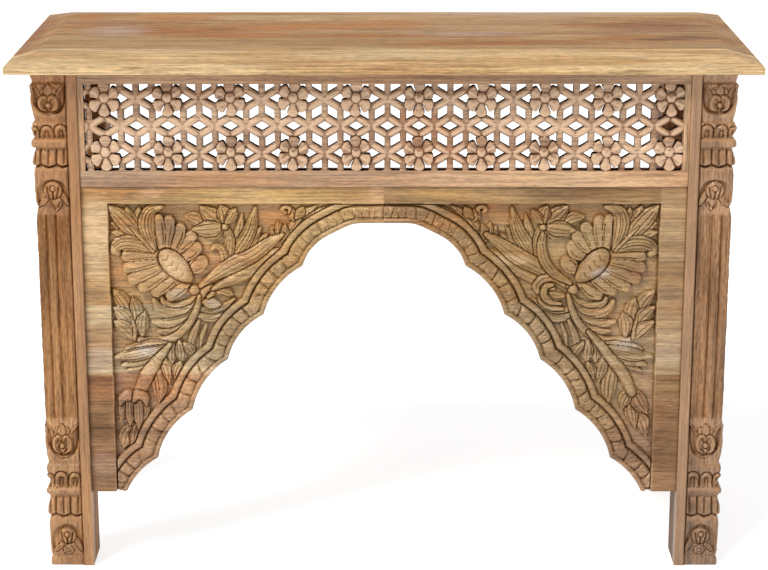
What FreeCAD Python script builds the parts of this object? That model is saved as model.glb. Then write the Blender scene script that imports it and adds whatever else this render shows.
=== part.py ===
import FreeCAD, Part
import math
import os

V = FreeCAD.Vector

# ---------------------------------------------------------------- driving dimensions (mm)
# Frame: +X along the length, front towards -Y, +Z up, origin on the floor under the middle.
TOP_W, TOP_D, TOP_T = 1100.0, 440.0, 24.0        # plank top
LEG_H = 782.0                                    # underside of the top
BEVEL_W, BEVEL_H = 44.0, 12.0                    # bevel round the rim of the top
BOARD_JOINTS_Y = (-140.0, -15.0, 105.0)          # edge joints between the four planks

LEG_IN, LEG_OUT = 450.0, 520.0                   # leg faces across the length
LEG_FRONT, LEG_DEPTH = -190.0, 70.0              # leg faces across the depth

FRIEZE_Z0, FRIEZE_Z1 = 606.0, LEG_H              # lattice frieze
RAIL_LOW_H, RAIL_TOP_H = 24.4, 20.5
STILE_W = 9.0
FRIEZE_Y0, FRIEZE_Y1 = -186.0, -162.0
GROOVE = 5.0                                     # panel tongue in the frame
JALI_Y0, JALI_Y1 = -182.0, -169.0
TENON = 22.0

PITCH, ROW = 46.2, 41.2                          # jali node pitch and row spacing
ROW_MID_Z = 697.0
FIRST_FLOWER_X = -410.7
BAR = 9.4                                        # width of a lattice bar
FLOWER_R = 24.0                                  # solid part of a flower boss

PANEL_Y0, PANEL_Y1 = -183.0, -161.0              # arch spandrels
PANEL_Z0, PANEL_Z1 = 120.7, 606.0
BOARD_JOINTS_Z = (269.3, 311.2, 421.0)
# cusps of the scalloped edge on the +X half, from the lowest up (|X|, Z), and the rise of each foil
CUSPS = ((396.0, 120.7), (347.2, 175.3), (291.9, 254.0), (236.6, 334.8), (181.5, 406.0), (122.5, 482.3))
FOILS = (6.0, 10.0, 10.0, 10.0, 10.0)
CROWN = ((114.6, 500.6), (105.2, 513.0), (95.6, 522.0), (86.0, 528.4), (67.0, 538.4), (56.0, 543.7), (46.0, 547.4), (34.0, 549.0))

SIDE_X0, SIDE_X1 = 487.0, 507.0                  # side aprons
BACK_Y0, BACK_Y1 = 158.0, 180.0                  # back apron
BACK_Z0 = 702.0
BATTEN_X, BATTEN_W, BATTEN_H = 220.0, 40.0, 20.0
SCREW_R, HEAD_R, HEAD_H, FIT = 2.0, 4.0, 3.0, 0.05
DOWEL_R, DOWEL_L = 4.0, 40.0

# carved leg sections from the foot up: (z0, z1, how far the carved faces stand back)
LEG_SECTIONS = (
    (15.0, 68.0, 3.0), (68.0, 82.0, 6.0), (82.0, 117.5, 3.5), (132.5, 165.0, 3.0), (165.0, 179.0, 6.0),
    (179.0, 237.0, 3.0), (237.0, 570.0, 5.0), (570.0, 614.0, 3.0), (638.0, 665.5, 3.5), (680.5, 703.5, 3.0),
    (703.5, 716.0, 6.0), (716.0, 768.0, 3.0),
)


def box(x0, y0, z0, x1, y1, z1):
    return Part.makeBox(x1 - x0, y1 - y0, z1 - z0, V(x0, y0, z0))


def rod(p, d, r, length):
    return Part.makeCylinder(r, length, p, d)


def prism(points, vec):
    w = Part.makePolygon([V(*p) for p in points] + [V(*points[0])])
    return Part.Face(w).extrude(V(*vec))


def mirror_x(shape):
    return shape.mirror(V(0, 0, 0), V(1, 0, 0))


def mirror_y(shape):
    return shape.mirror(V(0, 0, 0), V(0, 1, 0))


def screw(head, d, length):
    """Flat-headed wood screw: head is the middle of the outer head face, d the way it is driven."""
    s = rod(head, d, HEAD_R, HEAD_H).fuse(rod(head + d * HEAD_H * 0.5, d, SCREW_R, length - HEAD_H * 0.5))
    side = V(0, 0, 1) if abs(d.z) < 0.5 else V(0, 1, 0)
    across = d.cross(side)
    slot = Part.makeBox(1.0, 2 * HEAD_R + 2, 1.2)
    m = FreeCAD.Matrix(across.x, side.x, d.x, 0, across.y, side.y, d.y, 0, across.z, side.z, d.z, 0, 0, 0, 0, 1)
    slot.translate(V(-0.5, -HEAD_R - 1, -0.2))
    slot = slot.transformGeometry(m)
    slot.translate(head)
    return s.cut(slot)


def screw_hole(head, d, length):
    return rod(head - d * 1.0, d, HEAD_R + FIT, HEAD_H + 1.0 + FIT).fuse(rod(head, d, SCREW_R + FIT, length + 0.5))


def dowel(p, d):
    return rod(p - d * (DOWEL_L / 2), d, DOWEL_R, DOWEL_L)


def dowel_hole(p, d):
    return rod(p - d * (DOWEL_L / 2 + 0.5), d, DOWEL_R + FIT, DOWEL_L + 1.0)


parts = {}
cutters = {}                                     # node -> holes to be cut from it


def cut_later(node, shape):
    cutters.setdefault(node, []).append(shape)


# ---------------------------------------------------------------- plank top
hw, hd = TOP_W / 2, TOP_D / 2
z0, z1, z2 = LEG_H, LEG_H + TOP_T - BEVEL_H, LEG_H + TOP_T
slab = box(-hw, -hd, z0, hw, hd, z1)
low = Part.makePolygon([V(-hw, -hd, z1), V(hw, -hd, z1), V(hw, hd, z1), V(-hw, hd, z1), V(-hw, -hd, z1)])
bw, bd = hw - BEVEL_W, hd - BEVEL_W
high = Part.makePolygon([V(-bw, -bd, z2), V(bw, -bd, z2), V(bw, bd, z2), V(-bw, bd, z2), V(-bw, -bd, z2)])
crown = Part.makeLoft([low, high], True, True)
slab = slab.fuse(crown).removeSplitter()
edges_y = (-hd,) + BOARD_JOINTS_Y + (hd,)
TOP_NAMES = ("top_board_front", "top_board_mid_front", "top_board_mid_rear", "top_board_rear")
for name, y0, y1 in zip(TOP_NAMES, edges_y[:-1], edges_y[1:]):
    parts[name] = slab.common(box(-hw - 10, y0, z0 - 10, hw + 10, y1, z2 + 10))

dowels = []
for i, y in enumerate(BOARD_JOINTS_Y):
    for x in (-395.0, -145.0, 145.0, 395.0):
        p = V(x, y, LEG_H + 11.0)
        dowels.append(dowel(p, V(0, 1, 0)))
        for n in (TOP_NAMES[i], TOP_NAMES[i + 1]):
            cut_later(n, dowel_hole(p, V(0, 1, 0)))
parts["top_dowels"] = Part.makeCompound(dowels)


# ---------------------------------------------------------------- legs
def leg_blank():
    """Front leg of the +X side: carved sections stand back a little on its front and outer faces."""
    s = box(LEG_IN, LEG_FRONT, 0, LEG_OUT, LEG_FRONT + LEG_DEPTH, LEG_H)
    for a, b, inset in LEG_SECTIONS:
        s = s.cut(box(LEG_IN + 17, LEG_FRONT - 1, a, LEG_OUT + 1, LEG_FRONT + inset, b))
        s = s.cut(box(LEG_OUT - inset, LEG_FRONT - 1, a, LEG_OUT + 1, LEG_FRONT + LEG_DEPTH - 8, b))
    return s


blank = leg_blank()
parts["front_leg_right"] = blank
parts["front_leg_left"] = mirror_x(blank)
parts["back_leg_right"] = mirror_y(blank)
parts["back_leg_left"] = mirror_x(mirror_y(blank))


# ---------------------------------------------------------------- aprons, tenoned into the legs
def tenon_cut(node, shape):
    cut_later(node, shape)


def side_apron():
    y = -LEG_FRONT - LEG_DEPTH
    s = box(SIDE_X0, -y, FRIEZE_Z0, SIDE_X1, y, LEG_H)
    t = box(SIDE_X0 + 5, -y - TENON, FRIEZE_Z0 + 22, SIDE_X1 - 5, y + TENON, LEG_H - 30)
    return s.fuse(t).removeSplitter(), t


apron, tongue = side_apron()
parts["side_apron_right"] = apron
parts["side_apron_left"] = mirror_x(apron)
for n, t in (("right", tongue), ("left", mirror_x(tongue))):
    tenon_cut("front_leg_" + n, t)
    tenon_cut("back_leg_" + n, t)

body = box(-LEG_IN, BACK_Y0, BACK_Z0, LEG_IN, BACK_Y1, LEG_H)
tongue = box(-LEG_IN - TENON, BACK_Y0 + 6, BACK_Z0 + 12, LEG_IN + TENON, BACK_Y1 - 6, LEG_H - 18)
parts["back_apron"] = body.fuse(tongue).removeSplitter()
tenon_cut("back_leg_left", tongue)
tenon_cut("back_leg_right", tongue)

# ---------------------------------------------------------------- frieze frame and jali panel
ZL, ZT = FRIEZE_Z0 + RAIL_LOW_H, FRIEZE_Z1 - RAIL_TOP_H
XO = LEG_IN - STILE_W
groove = box(-XO - GROOVE, JALI_Y0, ZL - GROOVE, XO + GROOVE, JALI_Y1, ZT + GROOVE)


def rail(za, zb, tz0, tz1):
    body = box(-LEG_IN, FRIEZE_Y0, za, LEG_IN, FRIEZE_Y1, zb)
    t = box(-LEG_IN - TENON, FRIEZE_Y0 + 7, tz0, LEG_IN + TENON, FRIEZE_Y1 - 7, tz1)
    for n in ("front_leg_left", "front_leg_right"):
        tenon_cut(n, t)
    return body.fuse(t).removeSplitter().cut(groove)


parts["frieze_top_rail"] = rail(ZT, FRIEZE_Z1, ZT + 6.5, FRIEZE_Z1 - 2)
parts["frieze_bottom_rail"] = rail(FRIEZE_Z0, ZL, FRIEZE_Z0 + 3, ZL - 6)
stile = box(XO, FRIEZE_Y0, ZL, LEG_IN, FRIEZE_Y1, ZT).cut(groove)
parts["frieze_stile_right"] = stile
parts["frieze_stile_left"] = mirror_x(stile)


def clip(poly, nx, nz, c):
    """The part of a convex polygon where nx*x + nz*z <= c."""
    out = []
    for i, (ax, az) in enumerate(poly):
        bx, bz = poly[(i + 1) % len(poly)]
        da, db = nx * ax + nz * az - c, nx * bx + nz * bz - c
        if da <= 0:
            out.append((ax, az))
        if (da < 0 < db) or (db < 0 < da):
            k = da / (da - db)
            out.append((ax + (bx - ax) * k, az + (bz - az) * k))
    return out


def area(poly):
    return 0.5 * sum(
        poly[i][0] * poly[(i + 1) % len(poly)][1] - poly[(i + 1) % len(poly)][0] * poly[i][1] for i in range(len(poly))
    )


def is_flower(x, z):
    row = round((z - ROW_MID_Z) / ROW)
    return abs(row) == 1 and round((x - FIRST_FLOWER_X) / PITCH) % 2 == 0


def rhombi():
    for row in range(-2, 3):
        z = ROW_MID_Z + row * ROW
        shift = PITCH / 2 if row % 2 == 0 else 0.0
        for j in range(-3, 23):
            x = FIRST_FLOWER_X + shift + j * PITCH
            h, r = PITCH / 2, ROW / 3
            yield (x, z), (x + PITCH, z), [(x, z), (x + h, z - r), (x + PITCH, z), (x + h, z + r)]
            yield (x, z), (x + h, z + ROW), [(x, z), (x + h, z + r), (x + h, z + ROW), (x, z + 2 * r)]
            yield (x, z), (x - h, z + ROW), [(x, z), (x, z + 2 * r), (x - h, z + ROW), (x - h, z + r)]


def jali_holes():
    for a, b, poly in rhombi():
        for i in range(4):
            (ax, az), (bx, bz) = poly_edge(i, a, b, poly)
            dx, dz = bx - ax, bz - az
            n = math.hypot(dx, dz)
            nx, nz = dz / n, -dx / n
            poly_in = clip(poly if i == 0 else poly_in, nx, nz, nx * ax + nz * az - BAR / 2)
        for p, q in ((a, b), (b, a)):
            if is_flower(*p) and poly_in:
                dx, dz = q[0] - p[0], q[1] - p[1]
                n = math.hypot(dx, dz)
                poly_in = clip(poly_in, -dx / n, -dz / n, -(dx * p[0] + dz * p[1]) / n - FLOWER_R)
        for nx, nz, c in ((1, 0, XO), (-1, 0, XO), (0, 1, ZT), (0, -1, -ZL)):
            if poly_in:
                poly_in = clip(poly_in, nx, nz, c)
        clean = []
        for p in poly_in:
            if not clean or math.hypot(p[0] - clean[-1][0], p[1] - clean[-1][1]) > 0.3:
                clean.append(p)
        if len(clean) > 2 and math.hypot(clean[0][0] - clean[-1][0], clean[0][1] - clean[-1][1]) < 0.3:
            clean.pop()
        if len(clean) > 2 and abs(area(clean)) > 25.0:
            yield clean


def poly_edge(i, a, b, poly):
    """Edge i of a rhombus, walked counter-clockwise."""
    p = poly if area(poly) > 0 else poly[::-1]
    return p[i], p[(i + 1) % 4]


def xz_wire(poly, y):
    return Part.makePolygon([V(x, y, z) for x, z in poly] + [V(poly[0][0], y, poly[0][1])])


e = GROOVE - 0.1
outer = xz_wire([(-XO - e, ZL - e), (XO + e, ZL - e), (XO + e, ZT + e), (-XO - e, ZT + e)], JALI_Y0 + 0.1)
face = Part.Face([outer] + [xz_wire(h, JALI_Y0 + 0.1) for h in jali_holes()])
face.validate()
parts["jali_panel"] = face.extrude(V(0, JALI_Y1 - JALI_Y0 - 0.2, 0))


# ---------------------------------------------------------------- scalloped arch in two halves
def spandrel_outline():
    """Edge of the +X half, from the top of the seam round by the leg to the foils and back to the seam."""
    y = PANEL_Y0
    e = [Part.makeLine(V(0, y, PANEL_Z1), V(LEG_IN, y, PANEL_Z1)), Part.makeLine(V(LEG_IN, y, PANEL_Z1), V(LEG_IN, y, PANEL_Z0))]
    e.append(Part.makeLine(V(LEG_IN, y, PANEL_Z0), V(CUSPS[0][0], y, PANEL_Z0)))
    for (ax, az), (bx, bz), rise in zip(CUSPS[:-1], CUSPS[1:], FOILS):
        n = math.hypot(bx - ax, bz - az)
        mx, mz = (ax + bx) / 2 + rise * (bz - az) / n, (az + bz) / 2 - rise * (bx - ax) / n
        e.append(Part.Arc(V(ax, y, az), V(mx, y, mz), V(bx, y, bz)).toShape())
    pts = [CUSPS[-1]] + list(CROWN)
    curve = Part.BSplineCurve()
    curve.interpolate([V(x, y, z) for x, z in pts])
    e.append(curve.toShape())
    e.append(Part.makeLine(V(CROWN[-1][0], y, CROWN[-1][1]), V(0, y, CROWN[-1][1])))
    e.append(Part.makeLine(V(0, y, CROWN[-1][1]), V(0, y, PANEL_Z1)))
    return Part.Wire(Part.__sortEdges__(e))


half = Part.Face(spandrel_outline()).extrude(V(0, PANEL_Y1 - PANEL_Y0, 0))
levels = (PANEL_Z0 - 5,) + BOARD_JOINTS_Z + (PANEL_Z1 + 5,)
for i, (a, b) in enumerate(zip(levels[:-1], levels[1:])):
    board = half.common(box(-10, PANEL_Y0 - 5, a, LEG_IN + 10, PANEL_Y1 + 5, b))
    parts["spandrel_right_board_%d" % (i + 1)] = board
    parts["spandrel_left_board_%d" % (i + 1)] = mirror_x(board)


def board_at(z):
    return 1 + sum(z > j for j in BOARD_JOINTS_Z)


pins = []
for side, sx in (("right", 1), ("left", -1)):
    for z in (160.0, 230.0, 300.0, 362.0, 450.0, 565.0):
        p = V(sx * LEG_IN, (PANEL_Y0 + PANEL_Y1) / 2, z)
        pins.append(dowel(p, V(1, 0, 0)))
        cut_later("front_leg_" + side, dowel_hole(p, V(1, 0, 0)))
        cut_later("spandrel_%s_board_%d" % (side, board_at(z)), dowel_hole(p, V(1, 0, 0)))
parts["spandrel_dowels"] = Part.makeCompound(pins)

# ---------------------------------------------------------------- cleats behind the spandrels
CLEAT = 22.0
screws = []
for side, sx in (("right", 1), ("left", -1)):
    x0, x1 = sorted((sx * (LEG_IN - 24), sx * LEG_IN))
    name = "corner_cleat_" + side
    parts[name] = box(x0, PANEL_Y1, 136, x1, PANEL_Y1 + CLEAT, 590)
    for z in (190.0, 281.0, 330.0, 480.0):
        head, d = V(sx * (LEG_IN - 13), PANEL_Y1 + CLEAT - 0.3, z), V(0, -1, 0)
        screws.append(screw(head, d, 36))
        cut_later(name, screw_hole(head, d, 36))
        cut_later("spandrel_%s_board_%d" % (side, board_at(z)), screw_hole(head, d, 36))
    for z in (240.0, 410.0, 540.0):
        head, d = V(sx * (LEG_IN - 24 + 0.3), PANEL_Y1 + 11, z), V(sx, 0, 0)
        screws.append(screw(head, d, 45))
        cut_later(name, screw_hole(head, d, 45))
        cut_later("front_leg_" + side, screw_hole(head, d, 45))
parts["centre_cleat"] = box(-45, PANEL_Y1, 556, 45, PANEL_Y1 + 18, 600)
for sx, side in ((1, "right"), (-1, "left")):
    for z in (566.0, 590.0):
        head, d = V(sx * 28.0, PANEL_Y1 + 18 - 0.3, z), V(0, -1, 0)
        screws.append(screw(head, d, 32))
        cut_later("centre_cleat", screw_hole(head, d, 32))
        cut_later("spandrel_%s_board_4" % side, screw_hole(head, d, 32))
parts["cleat_screws"] = Part.makeCompound(screws)

# ---------------------------------------------------------------- battens under the top
screws = []
for side, sx in (("right", 1), ("left", -1)):
    name = "top_batten_" + side
    parts[name] = box(sx * BATTEN_X - BATTEN_W / 2, FRIEZE_Y1, LEG_H - BATTEN_H, sx * BATTEN_X + BATTEN_W / 2, BACK_Y0, LEG_H)
    for n, y in zip(TOP_NAMES, (-151.0, -80.0, 45.0, 131.0)):
        head, d = V(sx * BATTEN_X, y, LEG_H - BATTEN_H + 0.3), V(0, 0, 1)
        screws.append(screw(head, d, 34))
        cut_later(name, screw_hole(head, d, 34))
        cut_later(n, screw_hole(head, d, 34))
parts["batten_screws"] = Part.makeCompound(screws)

# ---------------------------------------------------------------- corner blocks, notched round the legs
screws = []
y_leg = LEG_FRONT + LEG_DEPTH
for ends, sy, wall, height in (("front", 1, FRIEZE_Y1, 20.0), ("back", -1, -BACK_Y0, 40.0)):
    for side, sx in (("right", 1), ("left", -1)):
        name = "corner_block_%s_%s" % (ends, side)
        pts = [(SIDE_X0, y_leg + 58.0), (SIDE_X0, y_leg), (LEG_IN, y_leg), (LEG_IN, wall), (LEG_IN - 62, wall)]
        s = prism([(x, y, LEG_H - height) for x, y in pts], (0, 0, height))
        s = mirror_x(s) if sx < 0 else s
        parts[name] = mirror_y(s) if sy < 0 else s
        zc = LEG_H - height / 2
        # one screw along the diagonal into the leg, one up into the top
        d = V(sx, -sy, 0).normalize()
        foot = V(sx * LEG_IN, sy * y_leg, zc)
        m = (SIDE_X0 + (LEG_IN - 62)) / 2, (y_leg + 58.0 + wall) / 2
        reach = abs((foot.x - sx * m[0]) * d.x + (foot.y - sy * m[1]) * d.y)
        head = foot - d * (reach - 6.0)
        screws.append(screw(head, d, reach + 16))
        deep = rod(head - d * 30, d, HEAD_R + FIT, 30.5).fuse(screw_hole(head, d, reach + 16))
        cut_later(name, deep)
        cut_later("%s_leg_%s" % (ends, side), deep)
        up = V(sx * (LEG_IN - 24), sy * (wall + 14), LEG_H - height + 0.3)
        screws.append(screw(up, V(0, 0, 1), height + 13))
        hole = screw_hole(up, V(0, 0, 1), height + 13)
        cut_later(name, hole)
        for n, a, b in zip(TOP_NAMES, edges_y[:-1], edges_y[1:]):
            if a < up.y < b:
                cut_later(n, hole)
parts["block_screws"] = Part.makeCompound(screws)

# ---------------------------------------------------------------- holes and mortises, then the files
for name, shapes in cutters.items():
    s = parts[name]
    for c in shapes:
        s = s.cut(c)
    parts[name] = s

os.makedirs("parts", exist_ok=True)
for name, s in sorted(parts.items()):
    solids = s.Solids
    if len(solids) == 1:
        s = solids[0]
    ok = all(q.isValid() and q.Volume > 0 for q in solids)
    print("%-28s solids %2d  volume %10.0f  valid %s" % (name, len(solids), s.Volume, ok))
    s.exportStep("parts/%s.step" % name)
print(len(parts), "nodes")
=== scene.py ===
import math

import bmesh
import bpy
import numpy as np
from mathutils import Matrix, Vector


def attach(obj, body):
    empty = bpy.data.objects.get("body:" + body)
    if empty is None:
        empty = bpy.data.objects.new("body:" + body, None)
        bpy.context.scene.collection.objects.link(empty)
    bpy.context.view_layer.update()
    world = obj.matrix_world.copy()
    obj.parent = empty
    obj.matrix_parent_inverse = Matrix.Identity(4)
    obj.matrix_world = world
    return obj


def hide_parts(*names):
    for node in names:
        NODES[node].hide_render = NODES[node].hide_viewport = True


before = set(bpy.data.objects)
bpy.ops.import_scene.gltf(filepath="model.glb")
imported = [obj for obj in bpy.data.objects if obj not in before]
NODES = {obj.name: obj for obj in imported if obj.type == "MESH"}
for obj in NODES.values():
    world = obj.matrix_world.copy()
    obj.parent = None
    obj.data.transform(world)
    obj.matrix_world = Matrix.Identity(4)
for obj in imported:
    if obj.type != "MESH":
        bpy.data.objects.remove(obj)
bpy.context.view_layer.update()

MM = 0.001

# ---------------------------------------------------------------- dimensions, mm (the same as the solids)
TOP_W, TOP_D, TOP_T, LEG_H = 1100.0, 440.0, 24.0, 782.0
BEVEL_W, BEVEL_H = 44.0, 12.0
BOARD_JOINTS_Y = (-140.0, -15.0, 105.0)
LEG_IN, LEG_OUT, LEG_FRONT, LEG_DEPTH = 450.0, 520.0, -190.0, 70.0
OPEN_X, OPEN_Z0, OPEN_Z1 = 441.0, 630.4, 761.5
JALI_Y0, JALI_Y1 = -182.0, -169.0
PITCH, ROW, ROW_MID_Z, FIRST_FLOWER_X, BAR = 46.2, 41.2, 697.0, -410.7, 9.4
PANEL_Y0, PANEL_Y1, PANEL_Z0, PANEL_Z1 = -183.0, -161.0, 120.7, 606.0
BOARD_JOINTS_Z = (269.3, 311.2, 421.0)
CUSPS = ((396.0, 120.7), (347.2, 175.3), (291.9, 254.0), (236.6, 334.8), (181.5, 406.0), (122.5, 482.3))
FOILS = (6.0, 10.0, 10.0, 10.0, 10.0)
CROWN = ((114.6, 500.6), (105.2, 513.0), (95.6, 522.0), (86.0, 528.4), (67.0, 538.4), (56.0, 543.7), (46.0, 547.4), (34.0, 549.0))


# ---------------------------------------------------------------- small numeric helpers
def noise2(x, y, seed):
    """Smooth value noise on a unit lattice, -1 to 1."""
    x, y = np.broadcast_arrays(np.asarray(x, float), np.asarray(y, float))
    xi, yi = np.floor(x).astype(np.int64), np.floor(y).astype(np.int64)
    fx, fy = x - xi, y - yi
    fx, fy = fx * fx * (3 - 2 * fx), fy * fy * (3 - 2 * fy)

    def h(a, b):
        n = (a * 374761393 + b * 668265263 + seed * 974711) & 0xFFFFFFFF
        n = ((n ^ (n >> 13)) * 1274126177) & 0xFFFFFFFF
        return ((n ^ (n >> 16)) & 0xFFFF) / 32767.5 - 1.0

    a = h(xi, yi) * (1 - fx) + h(xi + 1, yi) * fx
    b = h(xi, yi + 1) * (1 - fx) + h(xi + 1, yi + 1) * fx
    return a * (1 - fy) + b * fy


def fbm(x, y, seed):
    return 0.6 * noise2(x, y, seed) + 0.3 * noise2(2.1 * x, 2.1 * y, seed + 1) + 0.15 * noise2(4.3 * x, 4.3 * y, seed + 2)


def smooth(a, b, x):
    t = np.clip((x - a) / (b - a), 0, 1)
    return t * t * (3 - 2 * t)


def softmin(a, b, k):
    h = np.clip(0.5 + 0.5 * (b - a) / k, 0, 1)
    return b * (1 - h) + a * h - k * h * (1 - h)


def blur(a, n):
    """Two box blurs of half-width n, edges repeated."""
    for _ in range(2):
        for axis in (0, 1):
            p = np.pad(a, [(n + 1, n) if k == axis else (0, 0) for k in (0, 1)], mode="edge")
            c = np.cumsum(p, axis=axis)
            m = a.shape[axis]
            hi = np.take(c, np.arange(2 * n + 1, 2 * n + 1 + m), axis=axis)
            lo = np.take(c, np.arange(0, m), axis=axis)
            a = (hi - lo) / (2 * n + 1)
    return a


def spline(pts, step):
    """Catmull-Rom curve through the points, sampled about every step."""
    p = np.asarray(pts, float)
    if len(p) == 2:
        n = max(2, int(math.dist(p[0], p[1]) / step) + 2)
        return p[0] + (p[1] - p[0]) * np.linspace(0, 1, n)[:, None]
    q = np.vstack((2 * p[0] - p[1], p, 2 * p[-1] - p[-2]))
    out = []
    for i in range(1, len(q) - 2):
        n = max(2, int(math.dist(q[i], q[i + 1]) / step) + 1)
        t = np.linspace(0, 1, n, endpoint=False)[:, None]
        a, b, c, d = q[i - 1], q[i], q[i + 1], q[i + 2]
        out.append(0.5 * (2 * b + (c - a) * t + (2 * a - 5 * b + 4 * c - d) * t**2 + (3 * b - a - 3 * c + d) * t**3))
    out.append(p[-1:])
    return np.vstack(out)


# ---------------------------------------------------------------- meshes
def build(name, verts, polys, material, replaces=(), attrs=None, sharp=38.0):
    """A new piece from vertices in mm and arrays of polygons, riding on the one body."""
    me = bpy.data.meshes.new(name)
    v = np.asarray(verts, float) * MM
    polys = [np.atleast_2d(np.asarray(p, np.int64)) for p in polys if len(p)]
    loops = np.concatenate([p.ravel() for p in polys]).astype(np.int32)
    sizes = np.concatenate([np.full(len(p), p.shape[1]) for p in polys])
    starts = np.concatenate(([0], np.cumsum(sizes)[:-1])).astype(np.int32)
    me.vertices.add(len(v))
    me.vertices.foreach_set("co", v.astype(np.float32).ravel())
    me.loops.add(len(loops))
    me.loops.foreach_set("vertex_index", loops)
    me.polygons.add(len(starts))
    me.polygons.foreach_set("loop_start", starts)
    me.update(calc_edges=True)
    me.validate()
    for key, values in (attrs or {}).items():
        a = me.attributes.new(key, "FLOAT", "POINT")
        a.data.foreach_set("value", np.asarray(values, np.float32))
    return place(name, me, material, replaces, sharp)


def place(name, me, material, replaces=(), sharp=38.0):
    me.shade_smooth()
    me.set_sharp_from_angle(angle=math.radians(sharp))
    me.materials.clear()
    me.materials.append(material)
    o = bpy.data.objects.new(name, me)
    bpy.context.scene.collection.objects.link(o)
    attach(o, "root")
    if replaces:
        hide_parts(*replaces)
    return o


def outline_edges(polys):
    """Directed edges that only one polygon uses."""
    a = np.concatenate([p.ravel() for p in polys])
    b = np.concatenate([np.roll(p, -1, axis=1).ravel() for p in polys])
    n = int(max(a.max(), b.max())) + 1
    fwd, rev = a * n + b, b * n + a
    keep = ~np.isin(fwd, rev)
    return a[keep], b[keep]


CELL = {
    1: ["a ab da"], 2: ["b bc ab"], 3: ["a b bc da"], 4: ["c cd bc"], 5: ["a ab da", "c cd bc"], 6: ["b c cd ab"],
    7: ["a b c cd da"], 8: ["d da cd"], 9: ["a ab cd d"], 10: ["b bc ab", "d da cd"], 11: ["a b bc cd d"],
    12: ["c d da bc"], 13: ["a ab bc c d"], 14: ["b c d da ab"],
}


def plate(x, z, s, y, back, extra, flip=False, flat_back=True, wall=None):
    """Closed plate with a carved front: the front is at y where s < 0, the back is flat at back.
    x and z are the grid lines, wall is the extra value half-way through the side walls. Returns vertices, polygons and
    the extra values at each vertex."""
    s = np.where(np.abs(s) < 1e-3, -1e-3, s)
    inside = s < 0
    nz, nx = s.shape
    gx, gz = np.broadcast_to(x, s.shape), np.broadcast_to(z[:, None], s.shape)
    layers = [gx, y, gz, extra]
    vid = np.full(s.shape, -1)
    vid[inside] = np.arange(inside.sum())
    cols = [[q[inside]] for q in layers]
    count = int(inside.sum())
    ids = {}
    for key, sl0, sl1 in (("h", np.s_[:, :-1], np.s_[:, 1:]), ("v", np.s_[:-1, :], np.s_[1:, :])):
        cross = inside[sl0] != inside[sl1]
        e = np.full(cross.shape, -1)
        e[cross] = count + np.arange(cross.sum())
        count += int(cross.sum())
        s0, s1 = s[sl0][cross], s[sl1][cross]
        t = s0 / (s0 - s1)
        for col, q in zip(cols, layers):
            q0, q1 = q[sl0][cross], q[sl1][cross]
            col.append(q0 + (q1 - q0) * t)
        ids[key] = e
    px, py, pz, pe = (np.concatenate(c) for c in cols)
    corner = {
        "a": vid[:-1, :-1], "b": vid[:-1, 1:], "c": vid[1:, 1:], "d": vid[1:, :-1],
        "ab": ids["h"][:-1, :], "cd": ids["h"][1:, :], "da": ids["v"][:, :-1], "bc": ids["v"][:, 1:],
    }
    code = inside[:-1, :-1] * 1 + inside[:-1, 1:] * 2 + inside[1:, 1:] * 4 + inside[1:, :-1] * 8
    front = []
    full = code == 15
    if full.any():
        front.append(np.stack([corner[k][full] for k in "abcd"], axis=1))
    for c, shapes in CELL.items():
        m = code == c
        if m.any():
            for shape in shapes:
                front.append(np.stack([corner[k][m] for k in shape.split()], axis=1))
    if flip:
        front = [p[:, ::-1] for p in front]
    u, v = outline_edges(front)
    n = len(px)
    verts = [np.stack((px, py, pz), axis=1)]
    if flat_back:
        rim = np.unique(np.concatenate((u, v)))
        where = np.full(n, -1)
        where[rim] = n + np.arange(len(rim))
        verts.append(np.stack((px[rim], np.full(len(rim), back), pz[rim]), axis=1))
        pe = np.concatenate((pe, np.full(len(rim), 0.5)))
        nxt = dict(zip(u.tolist(), v.tolist()))
        loops = []
        while nxt:
            k, cur = next(iter(nxt.items()))
            del nxt[k]
            loop = [k]
            while cur != k:
                loop.append(cur)
                cur = nxt.pop(cur)
            loops.append(loop)
        backs = [where[np.array(l)][::-1][None, :] for l in loops]
    else:
        where = n + np.arange(n)
        verts.append(np.stack((px, np.full(n, back), pz), axis=1))
        pe = np.concatenate((pe, np.full(n, 0.5)))
        backs = [where[p][:, ::-1] for p in front]
    if wall is None:
        walls = [np.stack((v, u, where[u], where[v]), axis=1)]
    else:
        rim = np.unique(np.concatenate((u, v)))
        ring = np.full(n, -1)
        ring[rim] = sum(len(q) for q in verts) + np.arange(len(rim))
        verts.append(np.stack((px[rim], py[rim] + 1.4, pz[rim]), axis=1))
        pe = np.concatenate((pe, np.full(len(rim), wall)))
        pe[where[rim]] = wall
        walls = [np.stack((v, u, ring[u], ring[v]), axis=1), np.stack((ring[v], ring[u], where[u], where[v]), axis=1)]
    return np.vstack(verts), front + backs + walls, pe


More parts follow.
